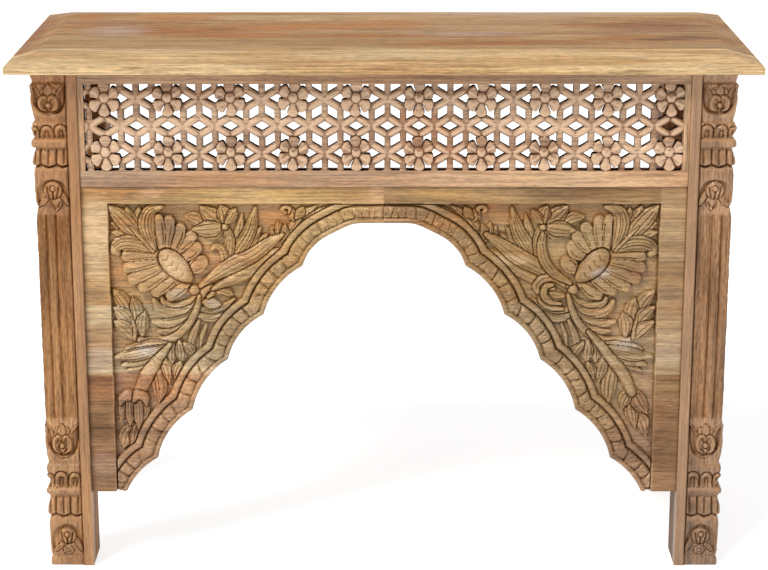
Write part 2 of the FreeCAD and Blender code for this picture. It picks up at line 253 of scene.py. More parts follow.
# ---------------------------------------------------------------- carving
class Relief:
    """Height field on a rectangular grid, worked with strokes like gouge cuts. Heights are in mm."""

    def __init__(self, u, v, floor, seed, jitter=0.0, unit=1.0):
        self.u, self.v = np.asarray(u, float), np.asarray(v, float)
        self.h = np.broadcast_to(np.asarray(floor, float), (len(self.v), len(self.u))).copy()
        self.rng = np.random.default_rng(seed)
        self.jitter, self.unit = jitter, unit
        # painted highlight and painted shade, added to the cavity value
        self.tone = np.zeros_like(self.h)

    def window(self, pts, reach):
        lo, hi = pts.min(0) - reach, pts.max(0) + reach
        c = np.nonzero((self.u >= lo[0]) & (self.u <= hi[0]))[0]
        r = np.nonzero((self.v >= lo[1]) & (self.v <= hi[1]))[0]
        if not len(c) or not len(r):
            return None
        return slice(r[0], r[-1] + 1), slice(c[0], c[-1] + 1)

    def near(self, path, reach):
        """Window, distance, place along the path (0 to 1) and side of the path for the grid points near it."""
        w = self.window(path, reach)
        if w is None:
            return None
        gu, gv = np.meshgrid(self.u[w[1]], self.v[w[0]])
        best = np.full(gu.shape, 1e9)
        arg = np.zeros(gu.shape, int)
        for k, (a, b) in enumerate(path):
            d = (gu - a) ** 2 + (gv - b) ** 2
            m = d < best
            best[m] = d[m]
            arg[m] = k
        t = np.gradient(path, axis=0)
        cross = t[arg, 0] * (gv - path[arg, 1]) - t[arg, 1] * (gu - path[arg, 0])
        length = np.concatenate(([0], np.cumsum(np.hypot(*np.diff(path, axis=0).T))))
        return w, np.sqrt(best), length[arg] / max(length[-1], 1e-9), np.sign(cross)

    def moat(self, w, q, moat, deep):
        """Cuts down round a shape: q is the distance outside it."""
        h = self.h[w]
        k = np.clip(q / moat, 0, 1)
        cut = deep + (np.maximum(h, deep) - deep) * k
        self.h[w] = np.where((q > 0) & (q < moat), np.minimum(h, cut), h)

    def stroke(self, pts, width, top=-1.0, edge=-4.0, moat=1.0, deep=-7.0, veins=(), vein=1.0, power=2.0, tilt=0.0, ends=0.0, reach=0.0):
        """A leaf, petal or stem along a curve; width is the half-width along it, veins are grooves at those parts of it,
        or how many to share out across it. ends drops the crest towards the end of the curve, reach lengthens the grooves."""
        p = np.asarray(pts, float)
        if self.jitter:
            p = p + self.rng.normal(0, self.jitter, p.shape)
            width = [a * (1 + self.rng.normal(0, 0.05)) for a in width]
        path = spline(p, 0.4 * self.unit)
        got = self.near(path, max(width) + moat + 0.5)
        if got is None:
            return
        w, d, t, side = got
        prof_w = spline(np.stack((np.linspace(0, 10, len(width)), width), 1), 0.05)
        hw = np.interp(t * 10, prof_w[:, 0], np.maximum(prof_w[:, 1], 0.05))
        r = d / hw
        crest = top - ends * smooth(0.4, 1.0, t)
        prof = edge + (crest - edge) * (1 - np.minimum(r, 1) ** power) + tilt * side * r
        if isinstance(veins, int):
            veins = [0.0] if veins == 1 else np.linspace(-0.6, 0.6, veins) + self.rng.normal(0, 0.04, veins)
        for g in veins:
            a, b = self.rng.uniform(0.0, 0.14) - reach, self.rng.uniform(0.84, 0.97) + reach
            fade = smooth(a - 0.05, a + 0.12, t) * (1 - smooth(b - 0.08, b + 0.03, t))
            prof = prof - 1.45 * vein * self.rng.uniform(0.75, 1.2) * fade * np.exp(-(((side * r - g) * hw) / (0.56 * self.unit)) ** 2)
        self.moat(w, d - hw, moat, deep)
        self.h[w] = np.where(r < 1, prof, self.h[w])

    def blob(self, c, a, b, angle=0.0, top=-0.6, edge=-3.5, moat=1.1, deep=-7.0, power=2.0, taper=0.0, norm=2.0):
        """A boss: an ellipse, egg (taper) or diamond (norm 1)."""
        c = np.asarray(c, float)
        if self.jitter:
            c = c + self.rng.normal(0, self.jitter * 0.6, 2)
        w = self.window(np.array([c]), max(a, b) + moat + 1)
        if w is None:
            return
        gu, gv = np.meshgrid(self.u[w[1]] - c[0], self.v[w[0]] - c[1])
        ca, sa = math.cos(angle), math.sin(angle)
        x, y = gu * ca + gv * sa, -gu * sa + gv * ca
        bb = b * (1 - taper * x / a)
        r = (np.abs(x / a) ** norm + np.abs(y / bb) ** norm) ** (1 / norm)
        prof = edge + (top - edge) * np.maximum(1 - np.minimum(r, 1) ** power, 0)
        self.moat(w, (r - 1) * min(a, b), moat, deep)
        self.h[w] = np.where(r < 1, prof, self.h[w])

    def incise(self, pts, half, depth):
        path = spline(pts, 0.3 * self.unit)
        got = self.near(path, 3 * half)
        if got is None:
            return
        w, d, t, side = got
        self.h[w] -= depth * np.exp(-((d / half) ** 2))


# ---------------------------------------------------------------- arch edge
def arch_edge():
    """The scalloped edge of the +X half from its foot to the middle of the crown: points, and where each foil starts."""
    pts, starts = [], []
    for (ax, az), (bx, bz), rise in zip(CUSPS[:-1], CUSPS[1:], FOILS):
        n = math.hypot(bx - ax, bz - az)
        radius = (n * n / 4 + rise * rise) / (2 * rise)
        ux, uz = (bx - ax) / n, (bz - az) / n
        ox, oz = uz, -ux                                   # towards the wood
        cx, cz = (ax + bx) / 2 - ox * (radius - rise), (az + bz) / 2 - oz * (radius - rise)
        half = math.asin(n / 2 / radius)
        starts.append(len(pts))
        for k in np.linspace(-half, half, int(n / 0.6), endpoint=False):
            pts.append((cx + radius * (ox * math.cos(k) + ux * math.sin(k)), cz + radius * (oz * math.cos(k) + uz * math.sin(k))))
    starts.append(len(pts))
    pts += spline([CUSPS[-1]] + list(CROWN), 0.6).tolist()
    starts.append(len(pts))
    for k in np.linspace(0, 1, 68)[1:]:
        pts.append((CROWN[-1][0] * (1 - k) - 12.0 * k, CROWN[-1][1]))
    return np.array(pts), starts


EDGE, EDGE_STARTS = arch_edge()
EDGE_LEN = np.concatenate(([0], np.cumsum(np.hypot(*np.diff(EDGE, axis=0).T))))


def edge_field(x, z):
    """Signed distance (wood positive), distance along the edge and foil number at every grid point."""
    gx, gz = np.meshgrid(x, z)
    px, pz = gx.ravel(), gz.ravel()
    best, arg = np.full(len(px), 1e12), np.zeros(len(px), int)
    for k0 in range(0, len(EDGE), 40):
        part = EDGE[k0 : k0 + 40]
        d = (px[:, None] - part[:, 0]) ** 2 + (pz[:, None] - part[:, 1]) ** 2
        j = d.argmin(1)
        v = d[np.arange(len(px)), j]
        m = v < best
        best[m], arg[m] = v[m], k0 + j[m]
    dist = np.sqrt(best)
    along = EDGE_LEN[arg]
    for off in (-1, 1):                                    # finer: the two segments beside the nearest point
        b = np.clip(arg + off, 0, len(EDGE) - 1)
        ax, az = EDGE[arg].T
        dx, dz = EDGE[b, 0] - ax, EDGE[b, 1] - az
        ll = np.maximum(dx * dx + dz * dz, 1e-12)
        t = np.clip(((px - ax) * dx + (pz - az) * dz) / ll, 0, 1)
        d = np.hypot(px - ax - t * dx, pz - az - t * dz)
        m = (d < dist) & (b != arg)
        along[m] = (EDGE_LEN[arg] + t * (EDGE_LEN[b] - EDGE_LEN[arg]))[m]
        dist[m] = d[m]
    # the opening is what lies under the edge and inside it
    ex, ez = EDGE[:, 0], EDGE[:, 1]
    inner = np.interp(pz, ez[: EDGE_STARTS[-1] + 1], ex[: EDGE_STARTS[-1] + 1])
    opening = (px < inner) & (pz < CROWN[-1][1])
    foil = np.searchsorted(np.array(EDGE_STARTS), arg, side="right") - 1
    sd = np.where(opening, -dist, dist)
    return sd.reshape(gx.shape), along.reshape(gx.shape), foil.reshape(gx.shape)


# ---------------------------------------------------------------- spandrel carving
def photo_u(x):
    return 392.0 - x / 1.5


def photo_v(z):
    a, b, c = 0.0001982, -1.68184, z + 6.0
    return 568.0 - (-b - np.sqrt(b * b - 4 * a * c)) / (2 * a)


def leaf_pts(base, tip, bow):
    """Base, a point off the middle by bow, and tip."""
    (ax, ay), (bx, by) = base, tip
    n = math.hypot(bx - ax, by - ay)
    return [base, ((ax + bx) / 2 - (by - ay) / n * bow, (ay + by) / 2 + (bx - ax) / n * bow), tip]


def carve_field(r, right):
    """The design is drawn for the left half; the right one repeats it turned over, with a few motifs of its own."""
    def c(pts):
        return [(90.0 + u / 4.9, 180.0 + v / 4.9) for u, v in pts]

    def s(pts, width, **k):
        r.stroke(c(pts), [w * 1.1 / 4.9 for w in width], **k)

    def leaf(base, tip, w, bow=0.0, **k):
        s(leaf_pts(base, tip, bow), [w * 0.45, w * 1.1, w * 1.26, w * 0.96, w * 0.14], **{**dict(top=-0.7, edge=-3.6, veins=3, vein=1.3, power=2.4), **k})

    # blades curling out from the stem below the flower
    s([(570, 560), (530, 610), (460, 632), (400, 610), (385, 585)], [9, 20, 25, 21, 9], top=-1.8, edge=-4.4, moat=1.0, veins=(0.0,), vein=1.0)
    s([(572, 580), (535, 640), (460, 668), (385, 650), (350, 598)], [9, 25, 31, 28, 11], top=-1.0, edge=-4.2, moat=1.0, veins=3, vein=1.2)
    s([(568, 610), (525, 680), (450, 710), (390, 712), (340, 700)], [9, 24, 30, 25, 8], top=-1.0, edge=-4.2, moat=1.0, veins=3, vein=1.2)
    s([(545, 665), (490, 730), (430, 752), (365, 748)], [7, 20, 23, 8], top=-1.8, edge=-4.4, moat=1.0, veins=(0.0,))
    # half leaf lying along the fillet, and the small leaves above it
    s([(545, 662), (620, 684), (690, 660), (760, 600)], [10, 20, 20, 6], top=-2.0, edge=-4.4, veins=(-0.3, 0.3), vein=0.8)
    s([(560, 640), (630, 648), (690, 628), (745, 590)], [8, 15, 15, 5], top=-2.0, edge=-4.4, moat=0.9, veins=(0.0,))
    if not right:
        leaf((590, 600), (680, 618), 21, 4, top=-0.8, veins=())
        leaf((645, 545), (738, 566), 20, -3)
        s([(585, 585), (600, 545), (630, 535), (640, 560), (615, 580)], [9, 16, 16, 13, 8], top=-1.0, edge=-4.0)
    # small leaves in the upper right corner by the fillet
    s([(985, 300), (1035, 235), (1080, 180), (1150, 135)], [8, 20, 20, 6], top=-1.8, edge=-4.2, veins=(0.0,), vein=1.2)
    s([(1050, 250), (1120, 190), (1200, 148), (1280, 128)], [6, 13, 13, 4], top=-2.4, edge=-4.4)
    leaf((978, 305), (930, 236), 20, 4)
    leaf((985, 300), (962, 214), 18, -3)
    leaf((992, 290), (1000, 225), 17, -3)
    leaf((1040, 200), (1010, 140), 17, 4)
    leaf((1050, 190), (1088, 135), 17, 4)
    s([(1000, 165), (985, 150), (1000, 136), (1022, 148), (1015, 168)], [7, 10, 11, 10, 6], top=-1.6)
    # serrated side of the big leaf, then its long blades
    for base, tip, w in (((845, 372), (935, 305), 20), ((810, 390), (912, 272), 22), ((775, 402), (884, 238), 24)):
        leaf(base, tip, w, -8, top=-1.2)
    s([(735, 415), (765, 310), (790, 170)], [9, 24, 22, 4], top=-1.0, edge=-4.0, moat=1.0, veins=(0.0,), vein=1.2)
    s([(722, 425), (770, 345), (825, 255), (857, 138)], [10, 30, 34, 26, 5], top=-0.5, edge=-3.8, moat=1.0, veins=4, vein=1.3)
    s([(705, 425), (722, 350), (728, 290), (702, 228)], [9, 24, 24, 20, 9], top=-0.7, edge=-3.8, moat=1.0, veins=3, vein=1.2)
    if not right:
        s([(668, 452), (700, 410), (690, 350), (662, 330), (640, 345)], [9, 19, 20, 16, 9], top=-1.2, edge=-4.0, veins=(0.0,), vein=1.0)
    # main stem: two thick bands side by side
    s([(640, 540), (700, 512), (770, 478), (860, 424), (940, 372), (1000, 362)], [9, 21, 27, 29, 26, 14], top=-0.8, edge=-3.8, moat=1.0, veins=(0.25,), vein=0.7)
    s([(580, 525), (650, 472), (740, 424), (835, 372), (920, 312), (985, 272)], [10, 25, 34, 35, 28, 12], top=-0.2, edge=-3.6, moat=1.0, veins=3, vein=1.0)
    if right:                            # a swirl at the foot of the stems and a crescent round the flower
        s([(592, 522), (640, 486), (700, 488), (734, 528), (716, 574)], [8, 17, 19, 17, 8], top=-0.8, edge=-3.8, moat=1.0, veins=(0.0,), vein=1.1)
        s([(600, 640), (660, 632), (706, 604), (716, 566)], [7, 14, 14, 6], top=-1.4, edge=-4.0, moat=0.9)
        s([(612, 612), (660, 602), (694, 572), (686, 532), (650, 522)], [6, 15, 17, 15, 7], top=-1.2, edge=-4.0, moat=1.0, veins=(0.0,), vein=1.0)
        leaf((598, 572), (664, 560), 22, 5)
        s([(680, 222), (708, 302), (694, 396), (642, 466), (566, 512)], [8, 19, 22, 20, 9], top=0.0, edge=-3.4, moat=1.0, veins=(-0.3, 0.3), vein=1.2)
    # sprig: five leaves round a knob
    leaf((610, 222), (507, 184), 22, 6)
    leaf((692, 214), (588, 134), 29, -6)
    leaf((702, 214), (686, 126), 24, 4)
    leaf((712, 216), (760, 150), 20, 4)
    leaf((686, 256), (606, 286), 24, 5)
    leaf((690, 238), (548, 248), 30, -3, top=-0.5)
    r.blob(*c([(704, 236)]), 3.6, 3.3, top=-0.2)
    # the big flower: a lower and an upper fan of touching petals
    for tip, mid, base, w in (
        ((434, 568), (470, 540), (508, 512), 28), ((362, 546), (408, 514), (456, 486), 28), ((294, 526), (350, 492), (412, 458), 28),
        ((250, 486), (316, 452), (392, 424), 28), ((228, 430), (302, 406), (386, 396), 27), ((222, 378), (300, 366), (384, 370), 24),
    ):
        s([tip, mid, base], [w * 0.92, w * 1.14, w * 1.0, w * 0.66], top=-0.3, edge=-1.9, moat=0.5, deep=-4.0, veins=2, vein=1.5, power=3.0, tilt=0.7)
    for tip, mid, base, w in (
        ((586, 408), (566, 424), (540, 444), 32), ((562, 336), (536, 356), (502, 384), 31), ((538, 282), (506, 312), (472, 350), 28),
        ((494, 242), (474, 280), (450, 338), 27), ((432, 206), (426, 262), (422, 336), 25), ((384, 196), (384, 256), (394, 340), 23),
    ):
        s([tip, mid, base], [w * 0.92, w * 1.12, w * 0.96, w * 0.64], top=-0.3, edge=-1.9, moat=0.5, deep=-4.0, veins=2, vein=1.5, power=3.0, tilt=-0.7)
    # corner leaf: lobes either side of its spine, two long curls
    leaf((300, 300), (152, 214), 25, 8, moat=1.0)
    leaf((310, 318), (152, 262), 25, 8, moat=1.0)
    leaf((292, 270), (288, 140), 24, -6, moat=1.0)
    leaf((270, 260), (226, 134), 25, -6, moat=1.0)
    leaf((286, 290), (142, 128), 30, 3, moat=1.0)
    s([(352, 350), (270, 318), (205, 318), (164, 348), (176, 368)], [11, 31, 37, 33, 15], top=-0.2, edge=-3.8, moat=1.0, veins=4, vein=1.2)
    s([(358, 345), (328, 262), (326, 195), (350, 152), (398, 136)], [11, 30, 35, 30, 11], top=-0.2, edge=-3.8, moat=1.0, veins=4, vein=1.3)
    s([(352, 350), (300, 296), (240, 232)], [7, 8, 4], top=-0.6, edge=-2.2, moat=0.7, deep=-4.6)
    # seed pod and the knob under it
    r.blob(*c([(550, 544)]), 5.2, 4.8, top=0.0, edge=-3.0)
    r.blob(*c([(462, 428)]), 21.5, 11.2, math.radians(45), top=4.6, edge=-3.2, moat=1.5, power=2.2, taper=0.16)
    for u, v in ((414, 384), (440, 408), (462, 432), (486, 466)):
        r.incise(c([(u - 16, v + 14), (u + 4, v + 8), (u + 14, v - 12)]), 0.85, 2.0)
    # second stem winding down to the left
    s([(572, 575), (556, 640), (512, 716), (440, 776), (350, 798), (245, 784)], [10, 15, 18, 19, 17, 9], top=-0.3, edge=-3.4, moat=1.0, veins=(0.2,), vein=0.7)
    s([(566, 694), (540, 760), (528, 810), (542, 862)], [8, 15, 15, 9], top=-1.2, edge=-3.8, veins=(0.0,), vein=0.8)
    s([(604, 716), (584, 770), (574, 820)], [6, 11, 10, 5], top=-2.4, edge=-4.4)
    # leaf spray at the border
    for base, tip, w, bow in (((236, 668), (152, 546), 26, 7), ((262, 706), (244, 584), 25, 6), ((284, 760), (304, 654), 25, -6), ((236, 716), (148, 628), 26, 7), ((246, 782), (150, 700), 27, 8)):
        leaf(base, tip, w, bow, moat=1.0)
    s([(250, 782), (246, 730), (232, 680)], [8, 8, 4], top=-0.8, edge=-2.4, moat=0.7, deep=-4.6)
    # long double leaf, small lobes, leaves beside the tube
    s([(300, 912), (250, 924), (206, 940)], [8, 16, 6], top=-1.8, edge=-4.2)
    s([(420, 808), (320, 820), (250, 828), (206, 832)], [10, 24, 26, 8], top=-0.4, edge=-3.8, moat=1.0, veins=3, vein=1.0)
    s([(405, 830), (330, 866), (250, 896), (182, 912)], [8, 24, 26, 8], top=-1.0, edge=-3.8, moat=1.0, veins=3, vein=1.2)
    s([(412, 818), (330, 842), (250, 862), (150, 872)], [10, 27, 31, 5], top=-0.2, edge=-3.6, moat=1.0, veins=4, vein=1.2)
    leaf((345, 920), (362, 1096), 27, -10)
    leaf((390, 880), (412, 996), 23, -5)
    leaf((434, 812), (432, 900), 19, 4)
    leaf((470, 800), (474, 904), 22, -4)
    leaf((495, 806), (540, 866), 18, -3)
    leaf((470, 902), (440, 980), 18, 4)
    if right:                            # a slender tube that ends in four leaves
        leaf((232, 1126), (166, 1270), 27, 6)
        leaf((250, 1062), (226, 1222), 25, -5)
        leaf((240, 1036), (166, 1150), 27, -7)
        leaf((256, 1040), (296, 1128), 23, -4)
        s([(470, 752), (412, 812), (352, 884), (296, 956), (248, 1042)], [9, 20, 24, 24, 22], top=0.4, edge=-3.4, moat=1.2, veins=(0.3,), vein=0.7)
        return
    s([(424, 812), (372, 868), (312, 950), (262, 1046)], [10, 26, 31, 24], top=0.4, edge=-3.4, moat=1.2)
    r.incise(c([(340, 866), (376, 886), (412, 892)]), 0.9, 1.7)
    r.incise(c([(330, 884), (366, 906), (400, 910)]), 0.9, 1.5)
    # hanging bud
    leaf((222, 1206), (172, 1314), 27, 6)
    leaf((236, 1214), (214, 1300), 19, -5)
    for pts, w in (([(176, 1090), (178, 1140), (168, 1186)], 18), ([(292, 1090), (290, 1140), (272, 1190)], 18), ([(212, 1080), (212, 1150), (214, 1208)], 22), ([(256, 1080), (258, 1160), (252, 1226)], 23)):
        s(pts, [w * 0.85, w, w * 0.9, 5], top=-0.8, edge=-3.8, moat=1.0, veins=(-0.3, 0.3), vein=1.0)
    s([(168, 1104), (180, 1072), (214, 1062), (240, 1092)], [8, 21, 24, 9], top=0.2, edge=-3.2, moat=1.0, veins=(0.0,), vein=0.6)
    s([(300, 1106), (292, 1070), (258, 1056), (232, 1088)], [8, 22, 25, 10], top=0.4, edge=-3.2, moat=1.0, veins=(0.0,), vein=0.6)


FIELD_X, FIELD_Z = 411.0, 579.5      # the carved field ends at these border lines


def spandrel(seed, over, right):
    """Grid lines, signed distance of the edge, height and cavity value for one half of the arch; the cavity value
    carries painted shade in the recesses and painted highlights on the crests and raised relief. over is the value of
    the plain strip above the carving."""
    levels = (PANEL_Z0,) + BOARD_JOINTS_Z + (PANEL_Z1,)
    z, rows = [], []
    for a, b in zip(levels[:-1], levels[1:]):
        n = int(round((b - a) / 0.98))
        rows.append((len(z), len(z) + n))
        z += np.linspace(a, b, n + 1)[:-1].tolist()
    z = np.array(z + [levels[-1]])
    x = np.linspace(0, LEG_IN, 461)
    gx, gz = np.meshgrid(x, z)
    sd, along, foil = edge_field(x, z)
    d = np.abs(sd)
    rng = np.random.default_rng(seed)
    ground = -6.6 + 0.45 * fbm(gx / 22, gz / 22, seed) + 0.25 * noise2(gx / 3.2, gz / 3.2, seed + 5)
    r = Relief(photo_u(x), photo_v(z), ground, seed, jitter=0.32)
    carve_field(r, right)
    h = r.h + 0.22 * noise2(gx / 2.4, gz / 2.4, seed + 9) + 0.16 * fbm(gx / 9, gz / 9, seed + 10)
    # the moulded band that follows the foils: lip, beads, groove, fillet
    wob = 0.7 * fbm(gx / 30, gz / 30, seed + 3)
    dd = d + wob
    lip = -1.0 - 2.4 * np.clip(1 - d / 2.6, 0, 1) ** 2 - 1.6 * smooth(4.6, 8.0, dd)
    q = np.clip(np.abs(dd - 17.2) / 9.4, 0, 1)
    bead = -5.0 + 4.8 * np.sqrt(np.maximum(1 - q**3.4, 0)) + 0.85 * noise2(gx / 6.5, gz / 6.5, seed + 14) + 0.45 * noise2(gx / 2.4, gz / 2.4, seed + 15)
    for f in range(len(EDGE_STARTS)):
        m = foil == f
        if not m.any():
            continue
        a = EDGE_LEN[EDGE_STARTS[f]]
        last = EDGE_STARTS[f + 1] if f + 1 < len(EDGE_STARTS) else len(EDGE) - 1
        b = EDGE_LEN[last]
        pitch = 20.0 if f < 5 else 11.5
        n = max(1, int(round((b - a) / pitch)))
        cuts = a + (b - a) * (np.arange(n + 1) + np.concatenate(([0], rng.normal(0, 0.09, n - 1), [0]))) / n if n > 1 else np.array([a, b])
        for k in range(len(cuts)):
            lean = rng.normal(0, 0.16)
            bow = rng.normal(0, 1.1) * np.sin((dd - 17) * 0.2)
            g = np.abs(along - cuts[k] - lean * (dd - 17) - bow) / 1.2
            bead = np.where(m, bead - (rng.uniform(1.4, 2.7) if f < 5 else rng.uniform(0.7, 1.7)) * np.exp(-(g**2)) * (q < 1), bead)
            if k + 1 < len(cuts):
                span = cuts[k + 1] - cuts[k]
                for frac in ((0.5,) if rng.random() < 0.4 else (0.36, 0.68)):
                    g = np.abs(along - cuts[k] - span * (frac + rng.normal(0, 0.05)) - rng.normal(0, 0.22) * (dd - 17)) / 0.95
                    bead = np.where(m, bead - rng.uniform(0.6, 1.6) * np.exp(-(g**2)) * smooth(rng.uniform(-1.3, 0.2), 0.5, np.clip((dd - 17.2) / 9.4, -1, 1) * rng.choice((-1, 1))) * (1 - q**2), bead)
            # ends of each bead roll over
        mid = np.zeros_like(along)
        for k in range(len(cuts) - 1):
            c, hs = (cuts[k] + cuts[k + 1]) / 2, (cuts[k + 1] - cuts[k]) / 2
            mid = np.where((along >= cuts[k]) & (along <= cuts[k + 1]), np.clip(np.abs(along - c) / hs, 0, 1), mid)
        bead = np.where(m, bead - (1.2 if f < 5 else 0.5) * mid**4, bead)
    p = np.clip(np.abs(dd - 33.6) / 5.2, 0, 1)
    fillet = -4.0 + 3.1 * np.sqrt(np.maximum(1 - p**2.2, 0)) - 0.2 * noise2(along / 9, dd / 9, seed + 13)
    band = np.where(dd < 7.9, lip, np.where(dd < 26.6, bead, np.where(dd < 28.4, -6.6, fillet)))
    field_edge = 38.8
    h = np.where(dd < field_edge, band, np.where(dd < field_edge + 1.4, np.minimum(h, -6.9), h))
    h = np.where(h < 0, 1.45 * h, 1.15 * h)
    # plain borders, parted from the field by a dark cut
    wx = 0.5 * noise2(gz / 40, gz * 0 + 0.5, seed + 21)
    wz = 0.5 * noise2(gx / 40, gx * 0 + 0.5, seed + 22)
    e = np.minimum(FIELD_X + wx - gx, FIELD_Z + wz - gz)   # distance inside the field's frame
    h = np.where(e < 0, 0.0, np.where(e < 1.6, np.minimum(h, -9.6), h))
    h = np.where((e < 0) & (e > -1.2), -0.7 * (1 + e / 1.2) ** 2, h)
    # hand-planed face, eased outer edges and the lines between the boards
    h = np.where(e < 0, h + 0.22 * fbm(gx / 60, gz / 18, seed + 31), h)
    rim = np.minimum(np.minimum(LEG_IN - gx, PANEL_Z1 - gz), gz - PANEL_Z0)
    h = h - 0.9 * np.clip(1 - rim / 1.6, 0, 1) ** 2
    h = h - 0.5 * np.exp(-((gx / 0.9) ** 2))
    for j in BOARD_JOINTS_Z:
        h = h - 0.45 * np.exp(-(((gz - j) / 0.8) ** 2))
    hb = np.where(sd < 0, -2.0, h)
    # painted shade in the recesses and painted highlight on the crests, from the height against its blur; raised relief
    # such as the pod is painted lighter still
    gain = np.interp(gz, (200.0, 300.0, 420.0), (0.044, 0.05, 0.062))
    cav = np.clip(0.5 + gain * (h - blur(hb, 3)) + 0.007 * (h - blur(hb, 12)), 0, 1)
    cav = np.clip(cav + 0.035 * np.maximum(h + 0.3, 0) * (e > 0), 0, 1)
    cav = np.where(e < -1.5, np.where(gx > FIELD_X, np.where(gz < BOARD_JOINTS_Z[1], 0.33, 0.58), over), cav)
    return x, z, rows, sd, h, cav


# ---------------------------------------------------------------- procedural finishes
TONE = 0.93                          # all wood tones are set against this


def lin(c):
    out = []
    for v in c:
        v *= TONE / 255.0
        out.append(v / 12.92 if v <= 0.04045 else ((v + 0.055) / 1.055) ** 2.4)
    return (*out, 1.0)


class Finish:
    def __init__(self, name):
        self.m = bpy.data.materials.new(name)
        self.m.use_nodes = True
        self.t = self.m.node_tree
        self.bsdf = self.t.nodes["Principled BSDF"]

    def node(self, kind, **inputs):
        n = self.t.nodes.new(kind)
        for k, v in inputs.items():
            self.put(n, k.replace("_", " "), v)
        return n

    def put(self, n, key, v):
        s = n.inputs[key]
        if isinstance(v, bpy.types.NodeSocket):
            self.t.links.new(v, s)
        else:
            s.default_value = v

    def math(self, op, a, b=0.0, clamp=False):
        n = self.t.nodes.new("ShaderNodeMath")
        n.operation, n.use_clamp = op, clamp
        self.put(n, 0, a)
        self.put(n, 1, b)
        return n.outputs[0]

    def mix(self, fac, a, b, blend="MIX"):
        n = self.t.nodes.new("ShaderNodeMix")
        n.data_type, n.blend_type = "RGBA", blend
        self.put(n, 0, fac)
        self.put(n, 6, a)
        self.put(n, 7, b)
        return n.outputs[2]

    def noise(self, vec, detail=2.0, rough=0.5, distort=0.0):
        n = self.node("ShaderNodeTexNoise", Vector=vec, Scale=1.0, Detail=detail, Roughness=rough, Distortion=distort)
        return n.outputs[0]

    def span(self, v, a, b, c=0.0, d=1.0):
        n = self.node("ShaderNodeMapRange", Value=v, From_Min=a, From_Max=b, To_Min=c, To_Max=d)
        n.interpolation_type = "SMOOTHSTEP"
        return n.outputs[0]

    def coords(self, along, s_along, s_across, shift):
        v = [s_across] * 3
        v[along] = s_along
        if not hasattr(self, "tc"):
            self.tc = self.t.nodes.new("ShaderNodeTexCoord").outputs["Object"]
        return self.node("ShaderNodeMapping", Vector=self.tc, Location=shift, Scale=v).outputs[0]


def blur_noise(f, at):
    return f.noise(at(9.0, 30.0), 3.0, 0.6, 0.4)


